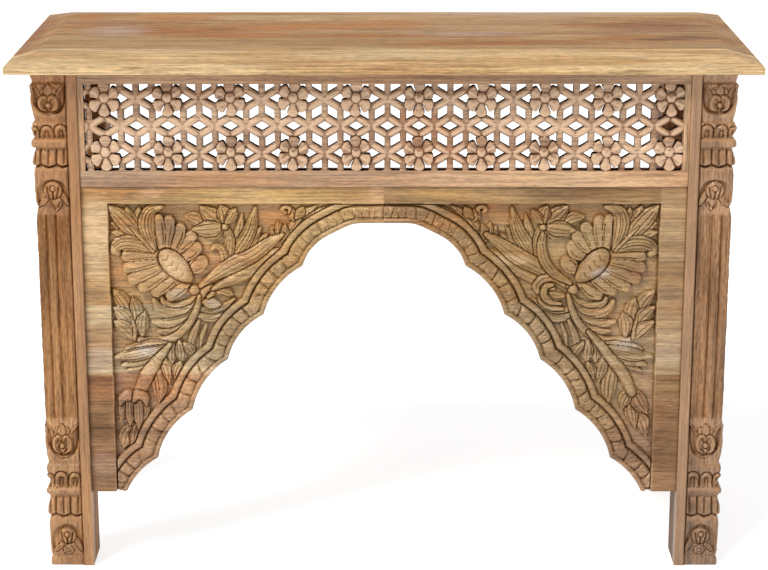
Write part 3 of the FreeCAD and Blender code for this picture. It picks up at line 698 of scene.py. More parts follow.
def wood(name, axis, light, base, warm, grey, dark, seed, warm_amount=0.6, grey_amount=0.4, rings=15.0, streak=0.4, carved=False, fibre=1.0, rough=(0.34, 0.5), bump=0.4, sheen=0.5, fade=None, knots=(), patch=(2.6, 8.0), stains=(), painted_recess_shade=(0.43, 0.32, 0.23), painted_shade_walls=False):
    """Planed, oiled hardwood with its grain along one axis: growth rings, tone drift, dark streaks, fibres and pores.
    Carved pieces also get painted shade in their recesses and painted highlights on their crests from the cav
    attribute.
    """
    f = Finish(name)
    k = "XYZ".index(axis)
    rnd = np.random.default_rng(seed)

    def at(s_along, s_across):
        return f.coords(k, s_along, s_across, tuple(float(a) for a in rnd.uniform(-40, 40, 3)))

    drift = f.noise(at(2.0, 11.0), 3.0, 0.55, 0.8)
    tint = f.noise(at(*patch), 2.0, 0.5, 0.5)
    ring = f.noise(at(0.9, 10.0), 2.5, 0.45, 0.4)
    swirl = []
    for kx, ky, rx, ry, rise in knots:   # rings that close round a knot
        place_ = f.node("ShaderNodeMapping", Vector=f.tc, Location=(-kx / rx, -ky / ry, 0.0), Scale=(1 / rx, 1 / ry, 0.0)).outputs[0]
        far = f.t.nodes.new("ShaderNodeVectorMath")
        far.operation = "LENGTH"
        f.put(far, 0, place_)
        d = f.math("ADD", far.outputs["Value"], f.math("MULTIPLY", f.math("SUBTRACT", blur_noise(f, at), 0.5), 0.9))
        ring = f.math("ADD", ring, f.span(d, 1.0, 0.0, 0.0, rise))
        swirl.append(d)
    band = f.math("PINGPONG", f.math("MULTIPLY", ring, rings), 1.0)
    c = f.mix(f.span(band, 0.15, 0.95), lin(light), lin(base))
    c = f.mix(f.span(drift, 0.46, 0.68, 0.0, warm_amount), c, lin(warm))
    c = f.mix(f.span(tint, 0.48, 0.70, 0.0, grey_amount), c, lin(grey))
    lines = f.noise(at(1.6, 75.0), 2.0, 0.6, 0.2)
    c = f.mix(f.span(lines, 0.56, 0.74, 0.0, streak), c, lin(dark))
    for d in swirl:
        c = f.mix(f.span(d, 0.95, 0.15, 0.0, 0.55), c, lin(warm))
        c = f.mix(f.span(d, 0.26, 0.10, 0.0, 0.6), c, lin(dark))
    dash = f.noise(at(15.0, 240.0), 2.0, 0.55)
    c = f.mix(f.span(dash, 0.55, 0.71, 0.0, 0.5 * fibre), c, lin(dark))
    blotch = f.noise(at(9.0, 26.0), 3.0, 0.6, 0.6)
    c = f.mix(f.span(blotch, 0.52, 0.74, 0.0, 0.45 * warm_amount), c, lin(warm))
    c = f.mix(f.span(blotch, 0.46, 0.28, 0.0, 0.35), c, lin(light))
    if stains:                           # heartwood and water marks, pale spots of painted highlight and a band of painted shade: plane, centre, radii (m), tone and strength
        ragged = f.math("MULTIPLY", f.math("SUBTRACT", f.noise(at(14.0, 60.0), 3.0, 0.6, 0.8), 0.5), 1.5)
        face = f.span(f.node("ShaderNodeSeparateXYZ", Vector=f.tc).outputs["Y"], -0.171, -0.164, 1.0, 0.0)
        for plane, a, b, ra, rb, tone, amount in stains:
            scale, shift = [0.0, 0.0, 0.0], [0.0, 0.0, 0.0]
            for q, centre, radius in ((plane[0], a, ra), (plane[1], b, rb)):
                scale["XYZ".index(q)], shift["XYZ".index(q)] = 1 / radius, -centre / radius
            far = f.t.nodes.new("ShaderNodeVectorMath")
            far.operation = "LENGTH"
            f.put(far, 0, f.node("ShaderNodeMapping", Vector=f.tc, Location=shift, Scale=scale).outputs[0])
            d = f.math("ADD", far.outputs["Value"], ragged)
            mark = f.span(d, 1.15, 0.25, 0.0, amount)
            if plane == "XZ" and tone in (STAIN["painted_highlight"], STAIN["grey"], STAIN["pale"]):
                mark = f.math("MULTIPLY", mark, face)      # surface marks only, not through the board
            c = f.mix(mark, c, lin(tone))
    fine = f.noise(at(9.0, 360.0), 3.0, 0.65)
    fleck = f.noise(at(75.0, 430.0), 2.0, 0.6)
    shade = f.math("ADD", f.span(fine, 0.3, 0.7, 1.0 - 0.34 * fibre, 1.0 + 0.2 * fibre), f.span(fleck, 0.3, 0.7, -0.16 * fibre, 0.13 * fibre))
    c = f.mix(1.0, c, f.node("ShaderNodeCombineColor", Red=shade, Green=shade, Blue=shade).outputs[0], "MULTIPLY")
    pore = f.noise(at(45.0, 950.0), 1.0, 0.5)
    pores = f.span(pore, 0.63, 0.72, 0.0, 0.5)
    c = f.mix(pores, c, lin(dark))
    if fade:                             # darker towards one end: axis, from, to, and how dark
        z = f.node("ShaderNodeSeparateXYZ", Vector=f.tc).outputs[fade[0]]
        k = f.span(z, fade[1], fade[2], fade[3], 1.0)
        c = f.mix(1.0, c, f.node("ShaderNodeCombineColor", Red=k, Green=k, Blue=k).outputs[0], "MULTIPLY")
    rough_map = f.span(drift, 0.3, 0.7, rough[0], rough[1])
    if carved:
        a = f.t.nodes.new("ShaderNodeAttribute")
        a.attribute_name = "cav"
        cav = a.outputs["Fac"]
        # painted shade: low cav values, in recesses, grooves, hole edges and on inner faces, darken the colour by the
        # recess shade; painted highlight: high cav values, on crests and raised relief, mix in the light tone
        low = f.span(cav, 0.08, 0.49, 0.0, 1.0)
        c = f.mix(low, f.mix(1.0, c, (*painted_recess_shade, 1.0), "MULTIPLY"), c)
        c = f.mix(f.span(cav, 0.53, 0.80, 0.0, 0.8 if painted_shade_walls else 0.5), c, lin(light))
        if painted_shade_walls:                          # painted shade: the walls of the piercings are made near black
            c = f.mix(f.span(cav, 0.0, 0.16), (0.010, 0.012, 0.016, 1.0), c)
        rough_map = f.math("ADD", rough_map, f.span(cav, 0.1, 0.5, 0.5 if painted_shade_walls else 0.15, 0.0))
    f.put(f.bsdf, "Base Color", c)
    f.put(f.bsdf, "Roughness", rough_map)
    if painted_shade_walls:
        f.put(f.bsdf, "Specular IOR Level", f.span(cav, 0.05, 0.3, 0.0, sheen))
    elif carved:                         # no wax reaches the cuts and the inner faces
        f.put(f.bsdf, "Specular IOR Level", f.span(cav, 0.26, 0.48, 0.03, sheen))
    else:
        f.bsdf.inputs["Specular IOR Level"].default_value = sheen
    height = f.math("SUBTRACT", f.math("MULTIPLY", fine, 0.6), f.math("MULTIPLY", pores, 0.8))
    b = f.node("ShaderNodeBump", Height=height, Strength=bump, Distance=0.0005)
    f.put(f.bsdf, "Normal", b.outputs[0])
    return f.m


def steel(name, seed):
    f = Finish(name)
    rnd = np.random.default_rng(seed)
    n = f.noise(f.coords(2, 500.0, 500.0, tuple(float(a) for a in rnd.uniform(-9, 9, 3))), 3.0, 0.6)
    f.put(f.bsdf, "Base Color", f.mix(f.span(n, 0.35, 0.7), lin((168, 164, 156)), lin((108, 102, 94))))
    f.put(f.bsdf, "Roughness", f.span(n, 0.3, 0.7, 0.32, 0.55))
    f.bsdf.inputs["Metallic"].default_value = 1.0
    return f.m


# ---------------------------------------------------------------- finishes of the pieces
STAIN = {                                # tones of heartwood, sapwood and weather in this kind of timber, and the pale lilac of painted highlights
    "heart": (192, 126, 66), "honey": (198, 156, 88), "peach": (212, 166, 120), "pale": (224, 190, 146), "painted_highlight": (222, 210, 200),
    "grey": (188, 160, 142), "moss": (168, 138, 88), "umber": (118, 86, 58), "russet": (154, 102, 70),
}


def marks(plane, *rows):
    """Single marks in the wood: tone, centre and reach in millimetres along the two axes of the face, strength."""
    return [(plane, a * MM, b * MM, ra * MM, rb * MM, STAIN[tone], k) for tone, a, b, ra, rb, k in rows]


TOP_MARKS = marks(
    "XY", ("heart", -145, 40, 175, 42, 0.75), ("heart", -330, 120, 85, 42, 0.7), ("grey", -415, 5, 65, 55, 0.7),
    ("russet", 430, 45, 100, 70, 0.75), ("umber", 475, -55, 65, 20, 0.8), ("heart", 10, 60, 80, 38, 0.75),
    ("grey", 135, -25, 120, 30, 0.65), ("grey", 230, 155, 185, 35, 0.5), ("heart", -470, 120, 25, 55, 0.7),
    # the last row here is painted shade: a dark russet band down the left end of the top, over its bevel
    ("heart", -210, -35, 95, 25, 0.4), ("russet", 340, -10, 80, 25, 0.4), ("russet", -545, 40, 28, 260, 0.7),
)
FRONT_MARKS = marks("XY", ("honey", 130, -140, 100, 35, 0.6), ("honey", -125, -130, 135, 30, 0.5), ("peach", -345, -150, 90, 25, 0.45))
# the pale lilac spots on the pod, stem and petals are painted highlights
LEFT_MARKS = marks(
    "XZ", ("peach", -320, 487, 115, 90, 0.4), ("honey", -130, 595, 80, 14, 0.6), ("honey", -255, 595, 60, 14, 0.4), ("peach", -345, 598, 30, 14, 0.7),
    ("heart", -160, 556, 40, 28, 0.7), ("peach", -10, 580, 16, 40, 0.6), ("umber", -318, 545, 26, 40, 0.6), ("painted_highlight", -310, 440, 20, 12, 0.5),
    ("painted_highlight", -255, 424, 14, 8, 0.65), ("moss", -255, 398, 105, 62, 0.45), ("umber", -225, 385, 95, 72, 0.28), ("painted_highlight", -359, 350, 20, 11, 0.6),
    ("moss", -345, 432, 62, 40, 0.5), ("umber", -345, 425, 60, 22, 0.2), ("umber", -430, 441, 28, 18, 0.55), ("pale", -430, 525, 30, 80, 0.75), ("heart", -398, 476, 18, 20, 0.5),
    ("grey", -430, 337, 25, 26, 0.5), ("umber", -430, 230, 28, 40, 0.6), ("heart", -340, 298, 58, 34, 0.5),
    ("peach", -290, 288, 45, 45, 0.5), ("grey", -430, 160, 30, 40, 0.4), ("umber", -384, 253, 30, 18, 0.5), ("heart", -290, 490, 50, 40, 0.5), ("pale", -312, 483, 30, 27, 0.95),
)
# the pale lilac spots on the pod, stem and petals are painted highlights
RIGHT_MARKS = marks(
    "XZ", ("honey", 90, 598, 70, 14, 0.45), ("umber", 280, 597, 110, 16, 0.7), ("moss", 225, 470, 190, 110, 0.45), ("umber", 235, 385, 120, 82, 0.32), ("moss", 335, 262, 78, 62, 0.45),
    ("pale", 190, 491, 29, 12, 0.6), ("umber", 309, 485, 28, 26, 0.4), ("painted_highlight", 325, 472, 21, 14, 0.5),
    ("russet", 376, 469, 25, 20, 0.5), ("umber", 430, 441, 28, 17, 0.6), ("grey", 430, 345, 28, 22, 0.3),
    ("umber", 430, 292, 30, 34, 0.25), ("peach", 345, 395, 40, 30, 0.3), ("painted_highlight", 368, 359, 23, 12, 0.5),
    ("umber", 365, 172, 66, 58, 0.4), ("umber", 430, 200, 30, 60, 0.35), ("russet", 390, 265, 16, 30, 0.5), ("heart", 160, 573, 22, 13, 0.5), ("peach", 10, 590, 14, 40, 0.35),
)
RAIL_MARKS = marks("XZ", ("peach", -230, 616, 120, 30, 0.5), ("heart", -230, 616, 120, 30, 0.3), ("russet", -385, 616, 80, 30, 0.35), ("pale", 280, 616, 200, 30, 0.45))


def marks_of(side, board):
    lo, hi = ((PANEL_Z0,) + BOARD_JOINTS_Z + (PANEL_Z1,))[board - 1 : board + 1]
    every = LEFT_MARKS if side == "left" else RIGHT_MARKS
    return [m for m in every if m[2] + m[4] > lo * MM and m[2] - m[4] < hi * MM]


DARK = (92, 60, 36)
M = {}
TOP = dict(rough=(0.56, 0.72), sheen=0.16)
M["top_front"] = wood("top_front", "X", (228, 196, 148), (202, 164, 114), (190, 136, 80), (188, 156, 120), (136, 96, 58), 11, 0.4, 0.25, 13, 0.32, stains=FRONT_MARKS, **TOP)
M["top_mid_front"] = wood("top_mid_front", "X", (190, 152, 104), (172, 130, 84), (172, 110, 56), (168, 140, 108), (110, 70, 42), 12, 0.85, 0.5, 12, 0.32, knots=((0.42, -0.07, 0.2, 0.045, 0.3),), stains=TOP_MARKS, **TOP)
M["top_mid_rear"] = wood("top_mid_rear", "X", (194, 156, 110), (176, 134, 90), (172, 112, 60), (168, 140, 108), (112, 74, 46), 13, 0.85, 0.4, 12, 0.32, knots=((0.37, 0.05, 0.16, 0.05, 0.42), (-0.25, 0.02, 0.22, 0.05, 0.3)), stains=TOP_MARKS, **TOP)
M["top_rear"] = wood("top_rear", "X", (204, 168, 122), (184, 144, 100), (176, 122, 72), (174, 146, 112), (124, 88, 56), 14, 0.5, 0.3, 12, 0.32, stains=TOP_MARKS, **TOP)
LEG_L = dict(light=(197, 147, 98), base=(163, 116, 72), warm=(162, 104, 56), grey=(156, 122, 90), dark=DARK)
LEG_R = dict(light=(188, 145, 107), base=(154, 116, 81), warm=(156, 106, 68), grey=(148, 122, 100), dark=(86, 62, 44))
M["leg_left"] = wood("leg_left", "Z", **LEG_L, seed=21, warm_amount=0.6, grey_amount=0.35, rings=11, streak=0.35, carved=True)
M["leg_right"] = wood("leg_right", "Z", **LEG_R, seed=22, warm_amount=0.45, grey_amount=0.5, rings=11, streak=0.4, carved=True, fade=("Z", 0.05, 0.32, 0.7))
M["leg_back_left"] = wood("leg_back_left", "Z", **LEG_L, seed=23, warm_amount=0.5, grey_amount=0.4, rings=11, streak=0.35, carved=True)
M["leg_back_right"] = wood("leg_back_right", "Z", **LEG_R, seed=24, warm_amount=0.5, grey_amount=0.4, rings=11, streak=0.35, carved=True)
M["rail_top"] = wood("rail_top", "X", (206, 166, 128), (180, 140, 104), (180, 126, 80), (164, 136, 108), (112, 80, 52), 31, 0.5, 0.35, 13, 0.35)
M["rail_low"] = wood("rail_low", "X", (216, 180, 144), (190, 151, 115), (198, 136, 82), (182, 152, 126), (128, 92, 62), 32, 0.6, 0.3, 15, 0.35, fade=("X", -0.42, 0.2, 0.80), stains=RAIL_MARKS)
M["stile"] = wood("stile", "Z", (212, 170, 126), (188, 145, 103), (176, 120, 76), (160, 132, 106), (112, 78, 50), 33, 0.5, 0.3, 12, 0.35)
M["jali"] = wood("jali", "X", (222, 186, 152), (172, 132, 100), (176, 116, 72), (164, 132, 108), (108, 74, 50), 34, 0.6, 0.35, 15, 0.3, carved=True, painted_shade_walls=True)
BOARD_TONES = {
    4: dict(light=(206, 168, 112), base=(178, 138, 84), warm=(182, 120, 58), grey=(164, 140, 96), dark=(110, 76, 42)),
    3: dict(light=(212, 184, 142), base=(182, 150, 108), warm=(184, 134, 80), grey=(162, 144, 110), dark=(112, 82, 52)),
    2: dict(light=(190, 141, 100), base=(171, 124, 87), warm=(148, 92, 54), grey=(142, 106, 78), dark=(88, 56, 36)),
    1: dict(light=(184, 143, 105), base=(163, 124, 88), warm=(144, 94, 56), grey=(134, 104, 78), dark=(84, 58, 38)),
}
BOARD_4_RIGHT = dict(light=(188, 152, 106), base=(158, 122, 80), warm=(170, 114, 58), grey=(156, 132, 92), dark=(104, 74, 42))
BOARD_2_RIGHT = dict(light=(184, 148, 106), base=(164, 126, 88), warm=(152, 106, 66), grey=(142, 114, 84), dark=(88, 60, 38))
BOARD_3_RIGHT = dict(light=(192, 163, 122), base=(162, 130, 90), warm=(166, 118, 70), grey=(150, 132, 98), dark=(104, 76, 48))
for side, k in (("left", 0), ("right", 1)):
    for b, tones in BOARD_TONES.items():
        tones = {("right", 4): BOARD_4_RIGHT, ("right", 3): BOARD_3_RIGHT, ("right", 2): BOARD_2_RIGHT}.get((side, b), tones)
        M["board_%s_%d" % (side, b)] = wood("board_%s_%d" % (side, b), "X", **tones, seed=41 + 10 * k + b, warm_amount=0.75 if b > 2 else 0.5, grey_amount=0.5, rings=14, streak=0.42, carved=True, patch=(6.0, 17.0), stains=marks_of(side, b))
M["apron"] = wood("apron", "X", (196, 158, 118), (168, 130, 94), (166, 114, 70), (154, 128, 104), (108, 76, 50), 61, 0.5, 0.4, 14, 0.4)
M["apron_side"] = wood("apron_side", "Y", (194, 156, 116), (166, 128, 92), (164, 112, 70), (154, 128, 104), (106, 74, 48), 62, 0.5, 0.4, 14, 0.4)
M["inner"] = wood("inner", "Y", (204, 172, 132), (180, 146, 106), (172, 124, 82), (166, 140, 112), (120, 88, 58), 63, 0.4, 0.3, 14, 0.35, rough=(0.6, 0.78))
M["inner_z"] = wood("inner_z", "Z", (204, 172, 132), (180, 146, 106), (172, 124, 82), (166, 140, 112), (120, 88, 58), 64, 0.4, 0.3, 14, 0.35, rough=(0.6, 0.78))
M["dowel"] = wood("dowel", "X", (222, 196, 156), (204, 172, 130), (190, 150, 108), (190, 164, 132), (150, 116, 82), 65, 0.3, 0.2, 12, 0.3)
M["steel"] = steel("steel_screw", 71)


# ---------------------------------------------------------------- arch spandrels
for side, sign, seed, over in (("right", 1, 101, 0.36), ("left", -1, 202, 0.5)):
    x, z, rows, sd, h, cav = spandrel(seed, over, side == "right")
    for b, (r0, r1) in enumerate(rows, 1):
        sl = slice(r0, r1 + 1)
        name = "spandrel_%s_board_%d" % (side, b)
        v, polys, e = plate(sign * x, z[sl], -sd[sl], PANEL_Y0 - h[sl], PANEL_Y1, cav[sl], flip=sign < 0)
        build("carved_" + name, v, polys, M["board_%s_%d" % (side, b)], [name], {"cav": e})


# ---------------------------------------------------------------- pierced lattice
SLANT = 10.8                              # width of the slanting bars, a little over the uprights


def jali():
    ex = OPEN_X + 4.8
    nx, nz = int(2 * ex / 1.3), int((OPEN_Z1 - OPEN_Z0 + 9.6) / 1.3)
    x, z = np.linspace(-ex, ex, nx), np.linspace(OPEN_Z0 - 4.8, OPEN_Z1 + 4.8, nz)
    gx, gz = np.meshgrid(x, z)
    rng = np.random.default_rng(77)
    wx = gx + 0.35 * fbm(gx / 24, gz / 24, 301)
    wz = gz + 0.35 * fbm(gx / 24, gz / 24, 302)
    slant, upright, crest = np.full(gx.shape, 1e9), np.full(gx.shape, 1e9), np.full(gx.shape, -9.0)
    hw, r = PITCH / 2, ROW / 3
    # the second array holds painted light for each petal: the lower petals lit, the upper ones shaded
    flowers, pale = [], np.zeros(gx.shape)
    for row in range(-2, 3):
        zc = ROW_MID_Z + row * ROW
        shift = PITCH / 2 if row % 2 == 0 else 0.0
        for j in range(-2, 22):
            xc = FIRST_FLOWER_X + shift + j * PITCH
            if abs(row) == 1 and j % 2 == 0 and abs(xc) < OPEN_X:
                flowers.append((xc, zc))
            for dx, dz in ((hw, r), (hw, -r), (-hw, r), (-hw, -r), (0, 2 * r), (0, -2 * r)):
                c0 = np.searchsorted(x, min(xc, xc + dx) - 9), np.searchsorted(x, max(xc, xc + dx) + 9)
                r0 = np.searchsorted(z, min(zc, zc + dz) - 9), np.searchsorted(z, max(zc, zc + dz) + 9)
                if c0[0] == c0[1] or r0[0] == r0[1]:
                    continue
                w = np.s_[r0[0] : r0[1], c0[0] : c0[1]]
                t = np.clip(((wx[w] - xc) * dx + (wz[w] - zc) * dz) / (dx * dx + dz * dz), 0, 1)
                d = np.hypot(wx[w] - xc - t * dx, wz[w] - zc - t * dz)
                if dx:                                     # a roll that runs out to a point at each crossing
                    slant[w] = np.minimum(slant[w], d)
                    lens = SLANT / 2 * np.sin(math.pi * np.clip(t, 0.02, 0.98)) ** 0.5
                    roll = -3.9 + 4.1 * np.sin(math.pi * t) ** 0.35 * np.sqrt(np.maximum(1 - (d / lens) ** 2.2, 0))
                    crest[w] = np.maximum(crest[w], np.where(d < lens, roll, -9.0))
                else:
                    upright[w] = np.minimum(upright[w], d)
    sd = np.minimum(slant - SLANT / 2, upright - BAR / 2)
    h = np.maximum(np.maximum(crest, -4.4), -2.3 - 2.6 * np.clip((upright - 2.9) / (BAR / 2 - 2.9), 0, 1.2))
    for xc, zc in flowers:
        w = np.s_[np.searchsorted(z, zc - 32) : np.searchsorted(z, zc + 32), np.searchsorted(x, xc - 32) : np.searchsorted(x, xc + 32)]
        lx, lz = (wx[w] - xc) / 0.95, (wz[w] - zc) / 1.08
        fs, fh = sd[w], h[w].copy()
        petal_painted_light = pale[w]
        turn = rng.normal(0, 0.05)
        for k in range(6):
            a = math.radians(90 + 60 * k) + turn + rng.normal(0, 0.03)
            ca, sa = math.cos(a), math.sin(a)
            u, v = lx * ca + lz * sa, -lx * sa + lz * ca
            wedge = np.abs(v) * 0.88 - u * 0.475 + 0.35      # 28 degrees to each side
            tip = np.hypot(u - 13.2 - rng.normal(0, 0.3), v) - 11.2
            petal = -softmin(-wedge, -tip, 2.4)
            q = np.clip(-petal / 3.4, 0, 1)
            prof = -4.4 + 3.4 * np.sqrt(np.maximum(1 - (1 - q) ** 2, 0)) + 3.4 * np.clip((u - 6) / 17, 0, 1)   # dished
            for g in (-0.2, 0.2):
                prof = prof - 0.8 * np.exp(-(((v - g * u) / 0.8) ** 2)) * smooth(8, 11, u) * smooth(22.5, 18, u)
            fh = np.where(petal < 0, prof, np.where(petal < 0.9, np.minimum(fh, -4.2), fh))
            fs = np.minimum(fs, petal)
            # painted light: lower petals lighter, upper petals darker
            petal_painted_light[petal < -0.4] = -0.15 * math.sin(a) - 0.02
        d = np.hypot(lx, lz - 2.4)
        disc = d - 7.3
        prof = -0.8 + 3.2 * np.sqrt(np.clip(1 - (np.minimum(d, 7.3) / 7.3) ** 2.2, 0, 1)) - 0.5 * np.exp(-((d / 1.6) ** 2))
        fh = np.where(disc < 0, prof, np.where(disc < 1.0, np.minimum(fh, -3.6), fh))
        petal_painted_light[disc < 1.0] = 0.0
        sd[w], h[w] = np.minimum(fs, disc), fh
    edge = np.minimum(np.minimum(OPEN_X - np.abs(gx), gz - OPEN_Z0), OPEN_Z1 - gz)
    sd = np.minimum(sd, edge + 0.2)                        # the tongue held in the frame is solid
    h = np.where(edge < 0.4, -1.5, h)
    h = h + 0.18 * noise2(gx / 3.0, gz / 3.0, 305)
    solid = np.where(sd < 0, h, -6.0)
    # painted shade in the hollows and painted highlight on the crests, from the height against its blur, plus the
    # painted light of the petals
    cav = np.clip(0.49 + 0.085 * (h - blur(solid, 3)) + pale, 0.18, 1)
    # painted shade on the uprights, which sit below the slanting rolls
    cav = np.where((upright < 3.4) & (crest < -2.2) & (pale == 0), np.minimum(cav, 0.38), cav)
    # painted highlight along the crests of the slanting rolls
    cav = np.where((h > -1.4) & (slant < 2.4), np.maximum(cav, 0.78), cav)
    # painted shade round the edges of the piercings
    cav = np.where(sd > -0.9, np.minimum(cav, 0.42), cav)
    # the walls of the piercings get cav 0: painted near-black shade
    return plate(x, z, sd, JALI_Y0 - 1.6 - h, JALI_Y1 - 0.1, cav, flat_back=False, wall=0.0)


v, polys, e = jali()
build("carved_jali_panel", v, polys, M["jali"], ["jali_panel"], {"cav": e})


# ---------------------------------------------------------------- carved legs
def leg_v(py):
    t = 568.0 - py
    return -6 + 1.68184 * t - 0.0001982 * t * t + 6 * (1 - t / 492.0)


UPPER_INSET = (
    (45, 0.4), (70, 1.2), (100, 2.8), (122, 4.2), (130, 3.2), (138, 0.8), (200, 0.3), (300, 0.4), (380, 1.4), (440, 3.0), (495, 5.4), (508, 5.0), (520, 2.4),
    (535, 0.6), (590, 1.0), (630, 2.6), (655, 5.0), (667, 5.2), (676, 2.4), (690, 0.7), (720, 0.3), (750, 0.7), (764, 2.6), (771, 4.8), (782, 3.4),
    (820, 1.8), (880, 0.5), (910, 0.4), (935, 1.4), (950, 4.2), (960, 3.2), (985, 1.8), (1040, 1.0), (1180, 1.0), (1280, 1.6), (1325, 3.0),
    (1348, 5.6), (1362, 4.6), (1400, 3.2), (1460, 2.4), (1560, 2.4),
)
LOWER_INSET = (
    (-160, 2.4), (-60, 2.6), (0, 2.8), (30, 2.2), (40, 1.4), (150, 0.6), (290, 0.3), (400, 2.0), (475, 4.6), (490, 4.2), (502, 1.4), (540, 0.4),
    (600, 1.7), (660, 4.6), (700, 4.8), (712, 2.4), (730, 0.8), (760, 0.4), (790, 0.9), (803, 4.0), (815, 4.2), (840, 2.4), (930, 0.4), (1000, 1.0),
    (1030, 3.6), (1045, 3.0), (1070, 1.6), (1120, 0.8), (1250, 1.2), (1400, 1.9), (1440, 2.6), (1452, 4.0), (1466, 2.6), (1480, 1.4), (1560, 0.9),
)
INSET = np.array(sorted([(leg_v(70 + v / 9.8), d) for v, d in UPPER_INSET] + [(leg_v(420 + v / 10.46), d) for v, d in LOWER_INSET]))
LEG_R0 = 7.0
P_FRONT = LEG_DEPTH - LEG_R0
P_MID = P_FRONT + math.pi * LEG_R0 / 4
P_END = 2 * P_MID
STRIP = 15.0
ZONE = P_MID - STRIP                                       # width of the carved zone on each face


def carve_leg(r, rng):
    """Carves the leg's canvas: u runs from the groove (0) to the corner (ZONE), v is the height in mm."""
    for low in (False, True):
        def y(v):
            # heights of the upper set carried to the lower one
            v = 70.0 + v / 9.8
            if low:
                v = float(np.interp(v, [84, 96, 105.6, 114.2, 124, 138, 148.4, 168, 181.5, 189.6, 205, 212], [426, 438, 448, 460, 471.6, 489, 498.5, 519.5, 528, 537.4, 553, 558]))
            return leg_v(v)

        def p(pts):
            return [(ZONE * 0.5 - (u - 236.0) * 0.15, y(v)) for u, v in pts]

        def s(pts, w, **k):
            r.stroke(p(pts), [q * 0.15 for q in w], **{**dict(top=0.2, edge=-2.6, moat=2.2, deep=-5.2), **k})

        def blob(c, a, b, **k):
            r.blob(p([c])[0], a * 0.15, b * 0.16, **{**dict(top=0.6, edge=-1.6, moat=2.0, deep=-5.0), **k})

        def cut(pts, half, depth):
            r.incise(p(pts), half, depth)

        def restore(v0, v1, crest):
            # a plain moulding across the zone, rounded top and bottom
            z0, z1 = y(v1), y(v0)
            q = (r.v - (z0 + z1) / 2) / ((z1 - z0) / 2)
            row = np.where(np.abs(q) < 1, crest - 1.4 * np.abs(q) ** 8 - 2.4 * np.clip((q - 0.42) / 0.58, 0, 1), np.nan)
            m = ~np.isnan(row)
            r.h[m] = row[m][:, None]
            # painted highlight on the top edge of the moulding and painted shade along its bottom edge
            r.tone[m] = 0.30 * smooth(0.40, 0.62, q[m])[:, None] - 0.12 * smooth(-0.7, -1.0, q[m])[:, None]

        def skirt():
            # fluted skirt that flares to three scallops
            uc = 236.0 - (r.u - ZONE * 0.5) / 0.15
            lobe = np.interp(uc, [20, 60, 100, 140, 215, 290, 352, 415], [932, 948, 944, 926, 960, 928, 954, 930])
            z_top, z_bot = y(768), np.array([y(q) for q in lobe])
            k = (z_top - r.v[:, None]) / (z_top - z_bot)
            prof = -1.6 + 2.4 * np.clip(k, 0, 1) - 2.2 * smooth(0.90, 1.0, k)
            for g in (82, 144, 220, 294, 374):
                main = g in (144, 294)
                wide, deep = (9.0, 2.8) if main else (8.0, 2.3)
                prof = prof - deep * np.exp(-(((uc - g - rng.normal(0, 2)) / wide) ** 2)) * smooth(0.02, 0.14, k) * (1 - smooth(0.80 + 0.16 * main, 0.97 + 0.1 * main, k))
            m = (k > -0.05) & (k < 1)
            r.h[m] = np.broadcast_to(prof, r.h.shape)[m]
            under = (k >= 1) & (r.v[:, None] > z_bot - 2.2)
            r.h[under] = np.minimum(r.h[under], -2.6 if low else -3.4)
            # painted highlights on the top of the skirt and on the shoulder below the scallops
            r.tone += np.where(m, 0.22 * smooth(0.34, 0.12, k), 0.0) + 0.20 * smooth(1.05, 1.10, k) * smooth(1.42, 1.18, k)

        # lotus cup: two hollow wings that meet under the bud, each with a thin raised inner rim
        s([(246, 420), (176, 392), (124, 316), (92, 226), (66, 138)], [16, 34, 42, 38, 6], top=-4.4, edge=-2.2, moat=0.6, deep=-2.6)
        s([(246, 420), (326, 392), (368, 306), (390, 224), (406, 138)], [16, 34, 42, 36, 6], top=-4.4, edge=-2.2, moat=0.6, deep=-2.6)
        cut([(62, 150), (84, 262), (116, 352), (166, 416), (246, 446), (336, 412), (386, 326), (410, 150)], 1.2, 1.8)
        s([(64, 134), (132, 194), (152, 262)], [5, 10, 9, 5], top=0.7, edge=-0.5, moat=0.9, deep=-3.2)
        s([(408, 134), (338, 206), (322, 272)], [5, 10, 9, 5], top=0.7, edge=-0.5, moat=0.9, deep=-3.2)
        blob((204, 204), 40, 38, top=1.3, edge=-0.4, moat=1.0, deep=-3.0)
        blob((278, 204), 40, 38, top=1.3, edge=-0.4, moat=1.0, deep=-3.0)
        s([(240, 250), (240, 196), (241, 140)], [28, 46, 40, 6], top=0.9, edge=-0.9, moat=1.0, deep=-3.2, veins=(0.0,), vein=0.9)
        s([(230, 318), (216, 272), (186, 268), (160, 312), (168, 372), (204, 398)], [9, 22, 26, 27, 25, 10], top=1.0, edge=-1.2, moat=1.4, deep=-3.8)
        s([(240, 318), (256, 270), (286, 268), (308, 312), (302, 372), (262, 398)], [9, 22, 26, 27, 25, 10], top=1.0, edge=-1.2, moat=1.4, deep=-3.8)
        cut([(222, 308), (212, 278), (190, 276), (170, 314), (178, 366), (210, 390)], 1.2, 2.0)
        cut([(248, 308), (260, 278), (282, 276), (300, 314), (292, 366), (258, 390)], 1.2, 2.0)
        blob((234, 346), 34, 34, top=-1.4, edge=-2.2, moat=0.4, deep=-2.4)
        blob((234, 346), 26, 26, top=1.6, edge=-0.6, moat=1.4, deep=-3.6)
        # crown of round tongues, band, fluted skirt
        for c, w in ((88, 52), (208, 66), (348, 66)):
            s([(c, 690), (c, 620), (c, 598)], [w, w, w * 0.96], top=0.8, edge=-1.8, power=4.0, moat=1.6, deep=-4.6)
            s([(c, 700), (c, 640), (c, 612)], [w * 0.66, w * 0.66, w * 0.6], top=-0.6, edge=-1.2, power=2.0, moat=0.1, deep=-1.2, veins=(-0.42, 0.36), vein=1.8, reach=0.2)
        skirt()
        restore(672, 772, 0.5)
